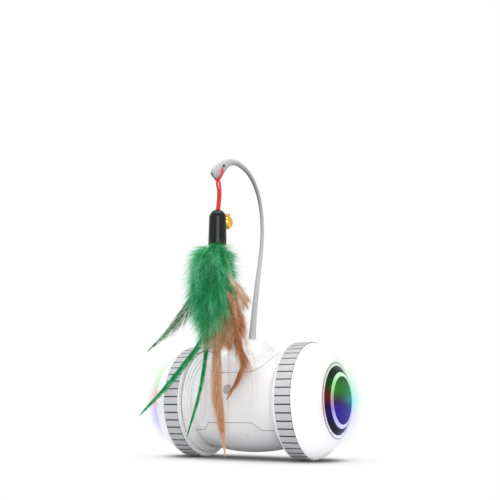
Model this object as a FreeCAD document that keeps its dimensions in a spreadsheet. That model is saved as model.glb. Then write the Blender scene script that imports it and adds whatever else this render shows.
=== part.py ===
import FreeCAD, Part
import math
import os
import re
import Sketcher
from FreeCAD import Placement, Rotation, Vector

# A self-driving cat toy: a barrel body between two lit wheels, and a silicone tail that dangles feathers.
# All lengths are in millimetres. X runs along the axle, -Y is the front and +Z is up.
# The sub-parts are drawn from the centre of the axle, and the finished ones are lifted by the tyre's radius,
# so that the origin is on the floor, midway between the tyres.

doc = FreeCAD.newDocument("CatFeatherToy")

SIZES = {
    # tyre and rim
    "tyre_radius": 40.0,
    "tread_width": 11.4,
    "tread_thickness": 2.5,
    "tread_edge_round": 0.6,
    "tread_blank_extra": 0.2,
    "groove_count": 46,
    "groove_width": 0.7,
    "groove_depth": 0.8,
    "rim_wall": 1.6,
    "rim_lip_width": 1.3,
    "rim_lip_height": 2.0,
    "web_thickness": 2.0,
    "web_depth": 5.6,
    "web_boss_radius": 6.0,
    "web_boss_inner_reach": 3.0,
    "web_boss_outer_reach": 7.0,
    "web_window_radius": 8.2,
    "web_window_circle": 21.0,
    "web_window_count": 5,
    # domed outer half of the wheel
    "dome_edge_radius": 39.4,
    "dome_height": 16.4,
    "dome_foot": 0.65,
    "dome_arc_radius": 25.0,
    "dome_wall": 2.0,
    "dome_lip": 3.0,
    "hub_seat_depth": 1.6,
    "hub_seat_radius": 23.05,
    "hub_rim_width": 2.1,
    "hub_rim_proud": 0.5,
    "hub_rim_round": 0.4,
    "hub_seat_thickness": 1.8,
    "dome_boss_radius": 5.0,
    "light_hole_radius": 2.6,
    "light_hole_circle": 17.3,
    "light_hole_count": 8,
    # lit hub
    "disc_gap": 0.15,
    "disc_proud": 0.2,
    "ring_outer_radius": 18.7,
    "ring_inner_radius": 16.0,
    "disc_rise_at_ring": 2.9,
    "lens_rise_at_ring": 3.8,
    "lens_rise": 5.0,
    "lens_flange": 1.5,
    "lens_back_gap": 0.6,
    "disc_arc_radius": 9.0,
    "hub_gap": 0.1,
    "ring_proud": 0.25,
    # axle and its bush
    "axle_radius": 2.0,
    "axle_tap_radius": 1.0,
    "axle_tap_depth": 7.0,
    "wheel_screw_head_radius": 2.6,
    "wheel_screw_head_height": 1.3,
    "running_clearance": 0.05,
    "fit_clearance": 0.05,
    "bush_radius": 4.0,
    "bush_reach": 2.6,
    "bush_end_gap": 0.2,
    "bush_flange_radius": 5.6,
    "bush_flange_thickness": 1.2,
    # barrel body
    "body_radius": 35.8,
    "body_end_radius": 31.7,
    "body_half_length": 32.0,
    "body_wall": 1.8,
    "end_wall": 2.0,
    "panel_gap": 0.3,
    "lip_thickness": 1.0,
    "lip_reach": 2.0,
    "lip_root": 3.0,
    "lip_clearance": 0.15,
    # saddle lid, seen from the front
    "lid_half_width": 25.6,
    "lid_corner_radius": 13.0,
    "lid_low_z": 18.9,
    "hump_height": 44.0,
    "hump_top_radius": 4.2,
    "hump_foot_radius": 19.0,
    "hump_foot_z": 30.0,
    "hump_arc_radius": 19.0,
    # belly cover, seen from the front
    "belly_side_z": -19.8,
    "belly_mid_z": -14.7,
    "belly_slant_inner_x": 17.2,
    "belly_slant_outer_x": 22.8,
    "belly_post_inset": 5.0,
    "belly_post_y": 6.0,
    "belly_post_radius": 2.7,
    "screw_radius": 0.9,
    "screw_head_radius": 1.9,
    "screw_head_height": 1.2,
    "screw_head_recess_z": -26.0,
    # end collar between the body and the wheel, as steps outwards from the body
    "collar_step": 1.3,
    "collar_rim_width": 1.9,
    "collar_neck_rise": 1.2,
    "collar_step_rise": 2.2,
    "collar_rim_rise": 1.3,
    "collar_bevel": 0.3,
    "wheel_gap": 0.6,
    "collar_wall": 1.4,
    "collar_plate": 1.5,
    # light board inside the wheel
    "light_board_inner_radius": 9.0,
    "light_board_outer_radius": 29.0,
    "light_board_thickness": 1.2,
    "light_chip_size": 5.0,
    "light_chip_height": 1.5,
    "light_chip_circle": 21.0,
    "light_chip_count": 6,
    # gear train
    "gear_module": 0.5,
    "drive_teeth": 48,
    "idler_pinion_teeth": 12,
    "idler_wheel_teeth": 46,
    "motor_pinion_teeth": 10,
    "mesh_gap": 0.06,
    "tooth_backlash": 0.14,
    "drive_gear_offset": 5.7,
    "drive_gear_width": 3.5,
    "idler_wheel_offset": 2.3,
    "idler_wheel_width": 2.6,
    "gear_end_gap": 0.3,
    "gear_pin_radius": 1.0,
    "motor_shaft_radius": 0.75,
    "motor_shaft_past": 0.4,
    "motor_end_plate": 1.8,
    "motor_drop": 8.0,
    "motor_inner_x": 2.0,
    "motor_width": 12.0,
    "motor_height": 10.0,
    # gear case
    "case_depth": 10.5,
    "case_end_gap": 1.0,
    "case_plate": 1.5,
    "case_front_y": 7.0,
    "case_rear_y": 22.0,
    "case_top_z": 8.0,
    "case_floor": 1.2,
    "case_cradle_wall": 1.2,
    # chassis tray and what it carries
    "tray_top_z": -14.2,
    "tray_thickness": 1.8,
    "tray_half_width": 25.0,
    "tray_end_gap": 0.3,
    "ledge_depth": 3.5,
    "ledge_half_width": 22.0,
    "tray_screw_inset": 4.0,
    "tray_screw_y": 13.0,
    "case_screw_offset": 6.0,
    "case_screw_y": 23.6,
    "board_z": 3.6,
    "board_thickness": 1.6,
    "board_margin": 3.0,
    "board_front_gap": 9.8,
    "board_rear_gap": 6.8,
    "pillar_inset": 4.5,
    "pillar_y": 21.0,
    "pillar_radius": 2.2,
    "battery_half_length": 20.0,
    "battery_front_y": 16.0,
    "battery_rear_y": 4.0,
    "battery_height": 8.0,
    "battery_round": 2.0,
    "cradle_wall": 0.8,
    "weight_half_length": 21.0,
    "weight_front_y": 5.3,
    "weight_rear_y": 19.2,
    "weight_gap": 1.2,
    "keel_half_width": 16.5,
    "keel_rise": 8.9,
    # button and socket
    "button_z": 7.4,
    "button_radius": 3.0,
    "button_sink": 0.5,
    "button_flange_sink": 4.3,
    "button_hole_clearance": 0.25,
    "button_flange_radius": 4.1,
    "button_flange_thickness": 1.1,
    "button_stem_radius": 1.5,
    "plunger_length": 1.55,
    "plunger_sink": 0.6,
    "plunger_radius": 1.2,
    "switch_setback": 0.5,
    "switch_depth": 3.6,
    "switch_half_width": 3.0,
    "switch_height": 4.8,
    "usb_half_width": 4.47,
    "usb_height": 3.2,
    "usb_length": 7.3,
    "usb_wall": 0.3,
    "usb_sink": 0.9,
    "usb_clearance": 0.2,
    # tail
    "plug_radius": 2.6,
    "plug_length": 12.0,
    "socket_wall": 2.4,
    "socket_floor": 1.5,
    "plug_end_gap": 0.1,
    "slot_y": -45.8,
    "slot_z": 163.0,
    "slot_length": 7.0,
    "slot_width": 3.0,
    "slot_tilt": 55.0,
    # red cord
    "cord_diameter": 1.6,
    "cord_spacing": 1.8,
    "cord_y": -49.6,
    "cord_top_z": 152.5,
    "cord_loop_half_width": 1.7,
    "cord_loop_height": 3.4,
    "hitch_z": 154.1,
    "hitch_half_width": 3.0,
    # cap, bell and feathers
    "cap_length": 24.3,
    "cap_bottom_z": 106.1,
    "cap_radius": 6.4,
    "cap_shoulder_radius": 6.05,
    "cap_shoulder_height": 18.5,
    "cap_dome_radius": 6.6,
    "cap_hole_radius": 2.85,
    "cap_wall": 1.3,
    "cap_roof": 1.5,
    "knot_radius": 3.2,
    "knot_gap": 0.25,
    "binding_height": 7.0,
    "bell_radius": 5.0,
    "bell_wall": 0.45,
    "bell_slit": 0.9,
    "bell_away": 11.3,
    "bell_direction": 90.0,
    "bell_eye_radius": 1.3,
    "bell_neck": 0.9,
    "pellet_radius": 1.4,
    "ring_radius": 3.2,
    "ring_wire_radius": 0.35,
    "ring_away": 6.6,
    "ring_drop": 1.5,
    "ring_direction": 71.5,
    "ring_tilt": 32.0,
    "fluff_wall": 1.5,
    "feather_thickness": 0.9,
}

# Places that follow from other sizes, so that the pieces stay together when the body or the hub changes
FOLLOWING = {
    "collar_neck_x": "body_half_length + collar_step",
    "collar_step_x": "collar_neck_x + collar_step",
    "collar_end_x": "collar_step_x + collar_rim_width",
    "collar_neck_radius": "body_end_radius + collar_neck_rise",
    "collar_step_radius": "collar_neck_radius + collar_step_rise",
    "collar_radius": "collar_step_radius + collar_rim_rise",
    "tread_inner_x": "collar_end_x + wheel_gap + rim_lip_width",
    "web_inner_x": "tread_inner_x + web_depth",
    "web_boss_inner_x": "web_inner_x - web_boss_inner_reach",
    "web_boss_outer_x": "web_inner_x + web_boss_outer_reach",
    "dome_face_x": "tread_inner_x + tread_width + dome_height",
    "dome_face_radius": "hub_seat_radius + hub_rim_width + dome_foot",
    "disc_radius": "hub_seat_radius - disc_gap",
    "disc_edge_x": "dome_face_x + disc_proud",
    "bush_inner_x": "body_half_length - bush_reach",
    "bush_outer_x": "web_boss_inner_x - bush_end_gap",
    "case_outer_x": "body_half_length - end_wall - case_plate - case_end_gap",
    "case_inner_x": "case_outer_x - case_depth",
    "axle_inner_x": "case_inner_x",
    "motor_length": "case_inner_x - motor_inner_x",
    "pillar_x": "case_inner_x - pillar_inset",
    "board_half_width": "pillar_x + board_margin",
    "drive_gear_x": "case_inner_x + drive_gear_offset",
    "idler_wheel_x": "case_inner_x + idler_wheel_offset",
    "idler_end_x": "case_outer_x - gear_end_gap",
    "case_screw_x": "case_inner_x + case_screw_offset",
    "tray_screw_x": "body_half_length - tray_screw_inset",
    "belly_post_x": "body_half_length - belly_post_inset",
    "button_face_y": "body_radius - button_sink",
    "button_flange_y": "body_radius - button_flange_sink",
    "board_front_y": "body_radius - board_front_gap",
    "board_rear_y": "body_radius - board_rear_gap",
    "switch_front_y": "board_front_y - switch_setback",
    "plunger_end_y": "switch_front_y - plunger_sink",
    "button_stem_end_y": "plunger_end_y + plunger_length",
    "usb_mouth_y": "body_radius - usb_sink",
    "keel_top_z": "keel_rise - body_radius",
}

sizes = doc.addObject("Spreadsheet::Sheet", "Sizes")
for row, (alias, size) in enumerate((SIZES | FOLLOWING).items(), start=1):
    sizes.set(f"A{row}", alias.replace("_", " "))
    sizes.set(f"B{row}", f"={size}")
    sizes.setAlias(f"B{row}", alias)
    doc.recompute()

SIZE_NAME = re.compile(r"\b(" + "|".join(sorted(SIZES | FOLLOWING, key=len, reverse=True)) + r")\b")
gauge = doc.addObject("App::FeaturePython", "Gauge")
gauge.addProperty("App::PropertyFloat", "Reading")


def spelled(formula):
    """The formula with each size name pointing at its cell."""
    return SIZE_NAME.sub(r"Sizes.\1", formula)


def bind(thing, property_name, formula):
    thing.setExpression(property_name, spelled(formula))


def number(formula):
    """The present value of a formula of size names."""
    gauge.setExpression("Reading", spelled(formula))
    gauge.recompute()
    return gauge.Reading


nodes = []


def finish(thing, label, turn=0, x="0", y="0", z="0"):
    """Names a finished sub-part and puts it at its place above the floor."""
    thing.Label = label
    thing.Placement = Placement(Vector(), Rotation(Vector(0, 0, 1), turn))
    bind(thing, "Placement.Base.x", x)
    bind(thing, "Placement.Base.y", y)
    bind(thing, "Placement.Base.z", f"tyre_radius + {z}")
    nodes.append(thing)
    return thing


# Sketches and the features made from them


def origin_feature(body, role):
    return next(feature for feature in body.Origin.OriginFeatures if feature.Role == role)


def new_sketch(body, name, plane, offset="0"):
    sketch = body.newObject("Sketcher::SketchObject", name)
    sketch.AttachmentSupport = [(origin_feature(body, plane), "")]
    sketch.MapMode = "FlatFace"
    bind(sketch, "AttachmentOffset.Base.z", offset)
    return sketch


def pin_point(sketch, geometry, end, u, v):
    """Ties one end of a line or arc to its two formulas."""
    for kind, formula in (("DistanceX", u), ("DistanceY", v)):
        index = sketch.addConstraint(Sketcher.Constraint(kind, -1, 1, geometry, end, number(formula)))
        bind(sketch, f"Constraints[{index}]", formula)


def arc_between(start, end, radius, bulge):
    """The short arc from start to end that bulges to the left (1) or right (-1) of the way there."""
    half = (end - start) * 0.5
    left = Vector(-half.y, half.x, 0).normalize()
    centre = start + half - left * bulge * math.sqrt(radius**2 - half.Length**2)
    angles = [math.atan2(point.y - centre.y, point.x - centre.x) for point in (start, end)]
    if bulge > 0:
        angles.reverse()
    circle = Part.Circle(centre, Vector(0, 0, 1), radius)
    return Part.ArcOfCircle(circle, angles[0], angles[1])


def draw_outline(sketch, points):
    """A closed outline. A point is (u, v), or (u, v, radius, bulge) where an arc leads to it."""
    places = [Vector(number(point[0]), number(point[1]), 0) for point in points]
    ends = []
    for index, point in enumerate(points):
        start = places[index - 1]
        if len(point) == 2:
            geometry = sketch.addGeometry(Part.LineSegment(start, places[index]), False)
            ends.append((geometry, 1, 2))
            continue
        arc = arc_between(start, places[index], number(point[2]), point[3])
        geometry = sketch.addGeometry(arc, False)
        limit = sketch.addConstraint(Sketcher.Constraint("Radius", geometry, number(point[2])))
        bind(sketch, f"Constraints[{limit}]", point[2])
        ends.append((geometry, 2, 1) if point[3] > 0 else (geometry, 1, 2))
    for index, point in enumerate(points):
        geometry, _, last = ends[index]
        following, first, _ = ends[(index + 1) % len(points)]
        sketch.addConstraint(Sketcher.Constraint("Coincident", geometry, last, following, first))
        pin_point(sketch, geometry, last, point[0], point[1])


def draw_circle(sketch, u, v, radius):
    centre = Vector(number(u), number(v), 0)
    geometry = sketch.addGeometry(Part.Circle(centre, Vector(0, 0, 1), number(radius)), False)
    pin_point(sketch, geometry, 3, u, v)
    limit = sketch.addConstraint(Sketcher.Constraint("Radius", geometry, number(radius)))
    bind(sketch, f"Constraints[{limit}]", radius)


def revolved(name, points, about="H_Axis"):
    """A body turned about X (H_Axis) or Z (V_Axis) from an outline in the XZ plane."""
    body = doc.addObject("PartDesign::Body", name)
    sketch = new_sketch(body, name + "_outline", "XZ_Plane")
    draw_outline(sketch, points)
    turned = body.newObject("PartDesign::Revolution", name + "_turned")
    turned.Profile = sketch
    turned.ReferenceAxis = (sketch, [about])
    turned.Angle = 360
    return body


def padded(name, plane, points, start, length, holes=()):
    """A plate drawn in a plane, from start on, with round holes (u, v, radius)."""
    body = doc.addObject("PartDesign::Body", name)
    sketch = new_sketch(body, name + "_outline", plane, start)
    draw_outline(sketch, points)
    for hole in holes:
        draw_circle(sketch, *hole)
    pad = body.newObject("PartDesign::Pad", name + "_pad")
    pad.Profile = sketch
    bind(pad, "Length", length)
    return body


def repeated_pocket(body, name, plane, offset, draw, depth, count, outwards=False):
    """A pocket, cut inwards or outwards from a plane and repeated around the X axis."""
    sketch = new_sketch(body, name + "_outline", plane, offset)
    draw(sketch)
    pocket = body.newObject("PartDesign::Pocket", name)
    pocket.Profile = sketch
    pocket.Reversed = outwards
    bind(pocket, "Length", depth)
    around = body.newObject("PartDesign::PolarPattern", name + "_around")
    around.Originals = [pocket]
    around.Axis = (origin_feature(body, "X_Axis"), [""])
    around.Angle = 360
    bind(around, "Occurrences", count)
    body.Tip = around


# Plain blocks and rods, and what is made by joining and cutting them

ALONG = {
    "X": Rotation(Vector(0, 1, 0), 90),
    "Y": Rotation(Vector(1, 0, 0), -90),
    "Z": Rotation(),
}


def block(name, x, y, z):
    """A box between the low and high formula of each direction."""
    box = doc.addObject("Part::Box", name)
    for letter, side, (low, high) in (("x", "Length", x), ("y", "Width", y), ("z", "Height", z)):
        bind(box, side, f"({high}) - ({low})")
        bind(box, f"Placement.Base.{letter}", low)
    return box


def rod(name, radius, along, start, end, **at):
    """A cylinder along X, Y or Z from start to end, at the other two coordinates."""
    cylinder = doc.addObject("Part::Cylinder", name)
    cylinder.Placement = Placement(Vector(), ALONG[along])
    bind(cylinder, "Radius", radius)
    bind(cylinder, "Height", f"({end}) - ({start})")
    bind(cylinder, f"Placement.Base.{along.lower()}", start)
    for letter, formula in at.items():
        bind(cylinder, f"Placement.Base.{letter}", formula)
    return cylinder


def joined(name, *pieces):
    fuse = doc.addObject("Part::MultiFuse", name)
    fuse.Shapes = list(pieces)
    fuse.Refine = True
    return fuse


def cut(name, base, *tools):
    result = doc.addObject("Part::Cut", name)
    result.Base = base
    result.Tool = tools[0] if len(tools) == 1 else joined(name + "_tools", *tools)
    result.Refine = True
    return result


def shared(name, first, second):
    common = doc.addObject("Part::Common", name)
    common.Base = first
    common.Tool = second
    common.Refine = True
    return common


def grouped(name, pieces):
    """Separate solids that share one sub-part."""
    group = doc.addObject("Part::Compound", name)
    group.Links = list(pieces)
    return group


def shaped(name, shape):
    """A sub-part from a shape that code has drawn, with the shape's own place kept inside it."""
    feature = doc.addObject("Part::Feature", name)
    feature.Shape = shape if shape.Placement.isIdentity() else Part.makeCompound([shape])
    return feature


# Wheels

TREAD_OUTER_X = "(tread_inner_x + tread_width)"
TREAD_SEAT = "(tyre_radius - tread_thickness)"
SIDES = {"right": 0, "left": 180}


def make_tyre(side, turn):
    """A round blank, taken down to the tyre's radius by one flat per groove, so that it stands on a flat."""
    edge = "tread_edge_round"
    blank = "(tyre_radius + tread_blank_extra)"
    body = revolved(
        f"tyre_{side}",
        [
            ("tread_inner_x", TREAD_SEAT),
            (TREAD_OUTER_X, TREAD_SEAT),
            (TREAD_OUTER_X, f"{blank} - {edge}"),
            (f"{TREAD_OUTER_X} - {edge}", blank, edge, -1),
            (f"tread_inner_x + {edge}", blank),
            ("tread_inner_x", f"{blank} - {edge}", edge, -1),
        ],
    )

    def draw_strip(sketch, half):
        """A strip across the tread that runs past both of its edges."""
        past = "groove_width"
        draw_outline(
            sketch,
            [
                (f"tread_inner_x - {past}", f"-({half})"),
                (f"{TREAD_OUTER_X} + {past}", f"-({half})"),
                (f"{TREAD_OUTER_X} + {past}", half),
                (f"tread_inner_x - {past}", half),
            ],
        )

    def draw_flat(sketch):
        draw_strip(sketch, "1.2 * pi * tyre_radius / groove_count")

    def draw_groove(sketch):
        draw_strip(sketch, "groove_width / 2")

    flat_depth = "2 * tread_blank_extra"
    repeated_pocket(
        body, f"flat_{side}", "XY_Plane", "tyre_radius", draw_flat, flat_depth, "groove_count", outwards=True
    )
    repeated_pocket(
        body, f"groove_{side}", "XY_Plane", "tyre_radius", draw_groove, "groove_depth", "groove_count"
    )
    finish(body, f"tyre_{side}", turn)


def make_rim(side, turn):
    inner = f"{TREAD_SEAT} - rim_wall"
    web_outer_x = "web_inner_x + web_thickness"
    body = revolved(
        f"wheel_rim_{side}",
        [
            ("tread_inner_x - rim_lip_width", inner),
            ("web_inner_x", inner),
            ("web_inner_x", "web_boss_radius"),
            ("web_boss_inner_x", "web_boss_radius"),
            ("web_boss_inner_x", "axle_radius"),
            ("web_boss_outer_x", "axle_radius"),
            ("web_boss_outer_x", "web_boss_radius"),
            (web_outer_x, "web_boss_radius"),
            (web_outer_x, inner),
            (TREAD_OUTER_X, inner),
            (TREAD_OUTER_X, TREAD_SEAT),
            ("tread_inner_x", TREAD_SEAT),
            ("tread_inner_x", f"{TREAD_SEAT} + rim_lip_height"),
            ("tread_inner_x - rim_lip_width", f"{TREAD_SEAT} + rim_lip_height"),
        ],
    )

    def draw_window(sketch):
        draw_circle(sketch, "0", "web_window_circle", "web_window_radius")

    repeated_pocket(
        body,
        f"web_window_{side}",
        "YZ_Plane",
        f"{web_outer_x} + 1",
        draw_window,
        "web_thickness + 2",
        "web_window_count",
    )
    finish(body, f"wheel_rim_{side}", turn)


HUB_SEAT_X = "(dome_face_x - hub_seat_depth)"
COLLAR_BACK_X = "(body_half_length + collar_plate)"


def make_dome(side, turn):
    plate_x = f"{HUB_SEAT_X} - hub_seat_thickness"
    inner_arc = "dome_arc_radius - dome_wall"
    rim_top_x = "dome_face_x + hub_rim_proud"
    rim_radius = "hub_seat_radius + hub_rim_width"
    body = revolved(
        f"wheel_dome_{side}",
        [
            (TREAD_OUTER_X, "dome_edge_radius"),
            ("dome_face_x", "dome_face_radius", "dome_arc_radius", 1),
            (f"{rim_top_x} - hub_rim_round", rim_radius),
            (rim_top_x, f"{rim_radius} - hub_rim_round", "hub_rim_round", 1),
            (rim_top_x, "hub_seat_radius"),
            (HUB_SEAT_X, "hub_seat_radius"),
            (HUB_SEAT_X, "axle_tap_radius + 3 * fit_clearance"),
            ("web_boss_outer_x + fit_clearance", "axle_tap_radius + 3 * fit_clearance"),
            ("web_boss_outer_x + fit_clearance", "dome_boss_radius"),
            (plate_x, "dome_boss_radius"),
            (plate_x, "hub_seat_radius + dome_wall / 2"),
            (TREAD_OUTER_X, "dome_edge_radius - dome_lip", inner_arc, -1),
        ],
    )

    def draw_light_hole(sketch):
        draw_circle(sketch, "0", "light_hole_circle", "light_hole_radius")

    repeated_pocket(
        body,
        f"light_hole_{side}",
        "YZ_Plane",
        f"{HUB_SEAT_X} + 0.5",
        draw_light_hole,
        "hub_seat_thickness + 1",
        "light_hole_count",
    )
    finish(body, f"wheel_dome_{side}", turn)


def make_hub(side, turn):
    seat = f"{HUB_SEAT_X} + hub_gap"
    disc = revolved(
        f"hub_disc_{side}",
        [
            (seat, "ring_outer_radius + hub_gap"),
            (seat, "disc_radius"),
            ("disc_edge_x", "disc_radius"),
            ("disc_edge_x + disc_rise_at_ring", "ring_outer_radius + hub_gap", "disc_arc_radius", 1),
        ],
    )
    finish(disc, f"hub_disc_{side}", turn)

    ring = revolved(
        f"light_ring_{side}",
        [
            (seat, "ring_inner_radius + hub_gap"),
            (seat, "ring_outer_radius"),
            ("disc_edge_x + disc_rise_at_ring + ring_proud", "ring_outer_radius"),
            ("disc_edge_x + lens_rise_at_ring + ring_proud", "ring_inner_radius + hub_gap"),
        ],
    )
    finish(ring, f"light_ring_{side}", turn)

    lens_rise = "(lens_rise - lens_rise_at_ring)"
    lens_radius = f"(ring_inner_radius^2 + {lens_rise}^2) / (2 * {lens_rise})"
    lens_back = f"{HUB_SEAT_X} + wheel_screw_head_height + lens_back_gap"
    lens = revolved(
        f"hub_lens_{side}",
        [
            (lens_back, "0"),
            (lens_back, "ring_inner_radius - lens_flange"),
            (seat, "ring_inner_radius - lens_flange"),
            (seat, "ring_inner_radius"),
            ("disc_edge_x + lens_rise_at_ring", "ring_inner_radius"),
            ("disc_edge_x + lens_rise", "0", lens_radius, 1),
        ],
    )
    finish(lens, f"hub_lens_{side}", turn)


def make_axle(side, turn):
    """The axle and its screw. It returns the bush, which shares a sub-part with the other side's."""
    tap_x = "web_boss_outer_x - axle_tap_depth"
    axle = revolved(
        f"axle_{side}",
        [
            ("axle_inner_x", "0"),
            ("axle_inner_x", "axle_radius"),
            ("web_boss_outer_x", "axle_radius"),
            ("web_boss_outer_x", "axle_tap_radius"),
            (tap_x, "axle_tap_radius"),
            (tap_x, "0"),
        ],
    )
    finish(axle, f"axle_{side}", turn)

    shank = "axle_tap_radius - fit_clearance"
    head_x = f"{HUB_SEAT_X} + wheel_screw_head_height"
    screw = revolved(
        f"wheel_screw_{side}",
        [
            (f"{tap_x} + fit_clearance", "0"),
            (f"{tap_x} + fit_clearance", shank),
            (HUB_SEAT_X, shank),
            (HUB_SEAT_X, "wheel_screw_head_radius"),
            (head_x, "wheel_screw_head_radius"),
            (head_x, "0"),
        ],
    )
    finish(screw, f"wheel_screw_{side}", turn)

    bore = "axle_radius + running_clearance"
    outer = "bush_radius - fit_clearance"
    bush = revolved(
        f"axle_bush_{side}",
        [
            ("bush_inner_x", bore),
            ("bush_outer_x", bore),
            ("bush_outer_x", outer),
            (f"{COLLAR_BACK_X} + bush_flange_thickness", outer),
            (f"{COLLAR_BACK_X} + bush_flange_thickness", "bush_flange_radius"),
            (COLLAR_BACK_X, "bush_flange_radius"),
            (COLLAR_BACK_X, outer),
            ("bush_inner_x", outer),
        ],
    )
    bush.Placement = Placement(Vector(), Rotation(Vector(0, 0, 1), turn))
    return bush


# The collar stays with the body and carries the light board


def make_collar(side, turn):
    collar = revolved(
        f"end_collar_{side}",
        [
            ("body_half_length", "bush_radius"),
            ("body_half_length", "collar_neck_radius - collar_bevel"),
            ("collar_neck_x", "collar_neck_radius"),
            ("collar_neck_x", "collar_step_radius - collar_bevel"),
            ("collar_step_x", "collar_step_radius"),
            ("collar_step_x", "collar_radius - collar_bevel"),
            ("collar_end_x", "collar_radius"),
            ("collar_end_x", "collar_radius - collar_wall"),
            ("collar_step_x + 0.6", "collar_radius - 1.3 * collar_wall"),
            (f"{COLLAR_BACK_X} + 0.5", "collar_neck_radius - collar_wall / 2"),
            (COLLAR_BACK_X, "collar_neck_radius - collar_wall"),
            (COLLAR_BACK_X, "bush_radius"),
        ],
    )
    finish(collar, f"end_collar_{side}", turn)

    board = revolved(
        f"light_board_disc_{side}",
        [
            (COLLAR_BACK_X, "light_board_inner_radius"),
            (f"{COLLAR_BACK_X} + light_board_thickness", "light_board_inner_radius"),
            (f"{COLLAR_BACK_X} + light_board_thickness", "light_board_outer_radius"),
            (COLLAR_BACK_X, "light_board_outer_radius"),
        ],
    )
    half = "light_chip_size / 2"
    chip_x = f"{COLLAR_BACK_X} + light_board_thickness"
    chips = []
    for index in range(round(number("light_chip_count"))):
        chip = block(
            f"light_chip_{side}_{index}",
            (chip_x, f"{chip_x} + light_chip_height"),
            (f"-({half})", half),
            (f"light_chip_circle - {half}", f"light_chip_circle + {half}"),
        )
        angle = 360 * index / round(number("light_chip_count"))
        spun = doc.addObject("Part::Compound", f"light_chip_spun_{side}_{index}")
        spun.Links = [chip]
        spun.Placement = Placement(Vector(), Rotation(Vector(1, 0, 0), angle))
        chips.append(spun)
    finish(joined(f"light_board_{side}", board, *chips), f"light_board_{side}", turn)


# Gears: involute teeth about the X axis


def tooth_points(teeth, module, backlash):
    """Radius and half angle at four places up one side of a tooth, root first."""
    pressure = math.radians(20)
    pitch = module * teeth / 2
    base = pitch * math.cos(pressure)
    half_pitch_angle = math.pi / (2 * teeth) - backlash / (2 * pitch)
    involute_at_pitch = math.tan(pressure) - pressure

    def half_angle(radius):
        if radius <= base:
            return half_pitch_angle + involute_at_pitch
        slope = math.acos(base / radius)
        return half_pitch_angle + involute_at_pitch - (math.tan(slope) - slope)

    root = pitch - 1.25 * module
    tip = pitch + 0.9 * module
    radii = [root, max(base, root + 0.1 * module), pitch, tip]
    undercut = 0.8 if teeth < 17 else 1.0
    angles = [half_angle(radius) for radius in radii]
    angles[0] *= undercut
    return list(zip(radii, angles))


def gear_blank(teeth, start, width, phase, bore):
    """A gear about X. The phase turns a tooth from +Y towards +Z, in degrees."""
    module = number("gear_module")
    flank = tooth_points(teeth, module, number("tooth_backlash"))
    points = []
    for tooth in range(teeth):
        middle = math.radians(phase) + 2 * math.pi * tooth / teeth
        rising = [(radius, middle - angle) for radius, angle in flank]
        falling = [(radius, middle + angle) for radius, angle in reversed(flank)]
        points += [Vector(start, r * math.cos(a), r * math.sin(a)) for r, a in rising + falling]
    outline = Part.makePolygon(points + points[:1])
    solid = Part.Face(outline).extrude(Vector(width, 0, 0))
    hole = Part.makeCylinder(bore, width + 2, Vector(start - 1, 0, 0), Vector(1, 0, 0))
    return solid.cut(hole)


def hub_tube(radius, bore, start, end):
    tube = Part.makeCylinder(radius, end - start, Vector(start, 0, 0), Vector(1, 0, 0))
    return tube.cut(Part.makeCylinder(bore, end - start, Vector(start, 0, 0), Vector(1, 0, 0)))


IDLER_Y = "(gear_module * (drive_teeth + idler_pinion_teeth) / 2 + mesh_gap)"
MOTOR_REACH = "(gear_module * (idler_wheel_teeth + motor_pinion_teeth) / 2 + mesh_gap)"
MOTOR_Y = f"({IDLER_Y} - sqrt({MOTOR_REACH}^2 - motor_drop^2))"


def make_gears(side, turn):
    clearance = number("running_clearance")
    drive_teeth = round(number("drive_teeth"))
    pinion_teeth = round(number("idler_pinion_teeth"))
    wheel_teeth = round(number("idler_wheel_teeth"))
    motor_teeth = round(number("motor_pinion_teeth"))
    drive_x = number("drive_gear_x")
    drive_width = number("drive_gear_width")
    idler_x = number("idler_wheel_x")
    idler_width = number("idler_wheel_width")
    idler_end = number("idler_end_x")
    pin_bore = number("gear_pin_radius") + clearance
    axle = number("axle_radius")
    hub_end = number("case_outer_x - gear_end_gap")

    drive = gear_blank(drive_teeth, drive_x, drive_width, 0, axle)
    drive = drive.fuse(hub_tube(2 * axle, axle, drive_x + drive_width, hub_end))
    finish(shaped(f"drive_gear_{side}", drive.removeSplitter()), f"drive_gear_{side}", turn)

    # a tooth gap of the small idler gear faces the drive gear, and a tooth of the large one the motor
    to_motor = 180 + math.degrees(math.asin(number("motor_drop") / number(MOTOR_REACH)))
    idler = gear_blank(wheel_teeth, idler_x, idler_width, to_motor, pin_bore)
    small = gear_blank(
        pinion_teeth, idler_x + idler_width, idler_end - idler_x - idler_width, 180 / pinion_teeth, pin_bore
    )
    idler = idler.fuse(small).removeSplitter()
    finish(shaped(f"idler_gear_{side}", idler), f"idler_gear_{side}", turn, *turned(turn, "0", IDLER_Y))

    rotor_x = number("motor_inner_x + motor_length / 2")
    shaft_radius = number("motor_shaft_radius")
    pinion_phase = to_motor - 180 + 180 / motor_teeth
    rotor = gear_blank(motor_teeth, idler_x, idler_width, pinion_phase, shaft_radius)
    shaft_length = idler_x + idler_width + number("motor_shaft_past") - rotor_x
    shaft = Part.makeCylinder(shaft_radius, shaft_length, Vector(rotor_x, 0, 0), Vector(1, 0, 0))
    core_length = number("motor_length / 2 - motor_end_plate - 4 * running_clearance")
    core_start = Vector(rotor_x + 2 * clearance, 0, 0)
    core = Part.makeCylinder(2 * shaft_radius, core_length, core_start, Vector(1, 0, 0))
    rotor = rotor.fuse([shaft, core]).removeSplitter()
    finish(shaped(f"motor_rotor_{side}", rotor), f"motor_rotor_{side}", turn,
           *turned(turn, "0", MOTOR_Y), "-motor_drop")


def turned(turn, x, y):
    """Where a place in the right half lies after the half turn to the left one."""
    if turn == 0:
        return x, y
    return f"-({x})", f"-({y})"


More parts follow.
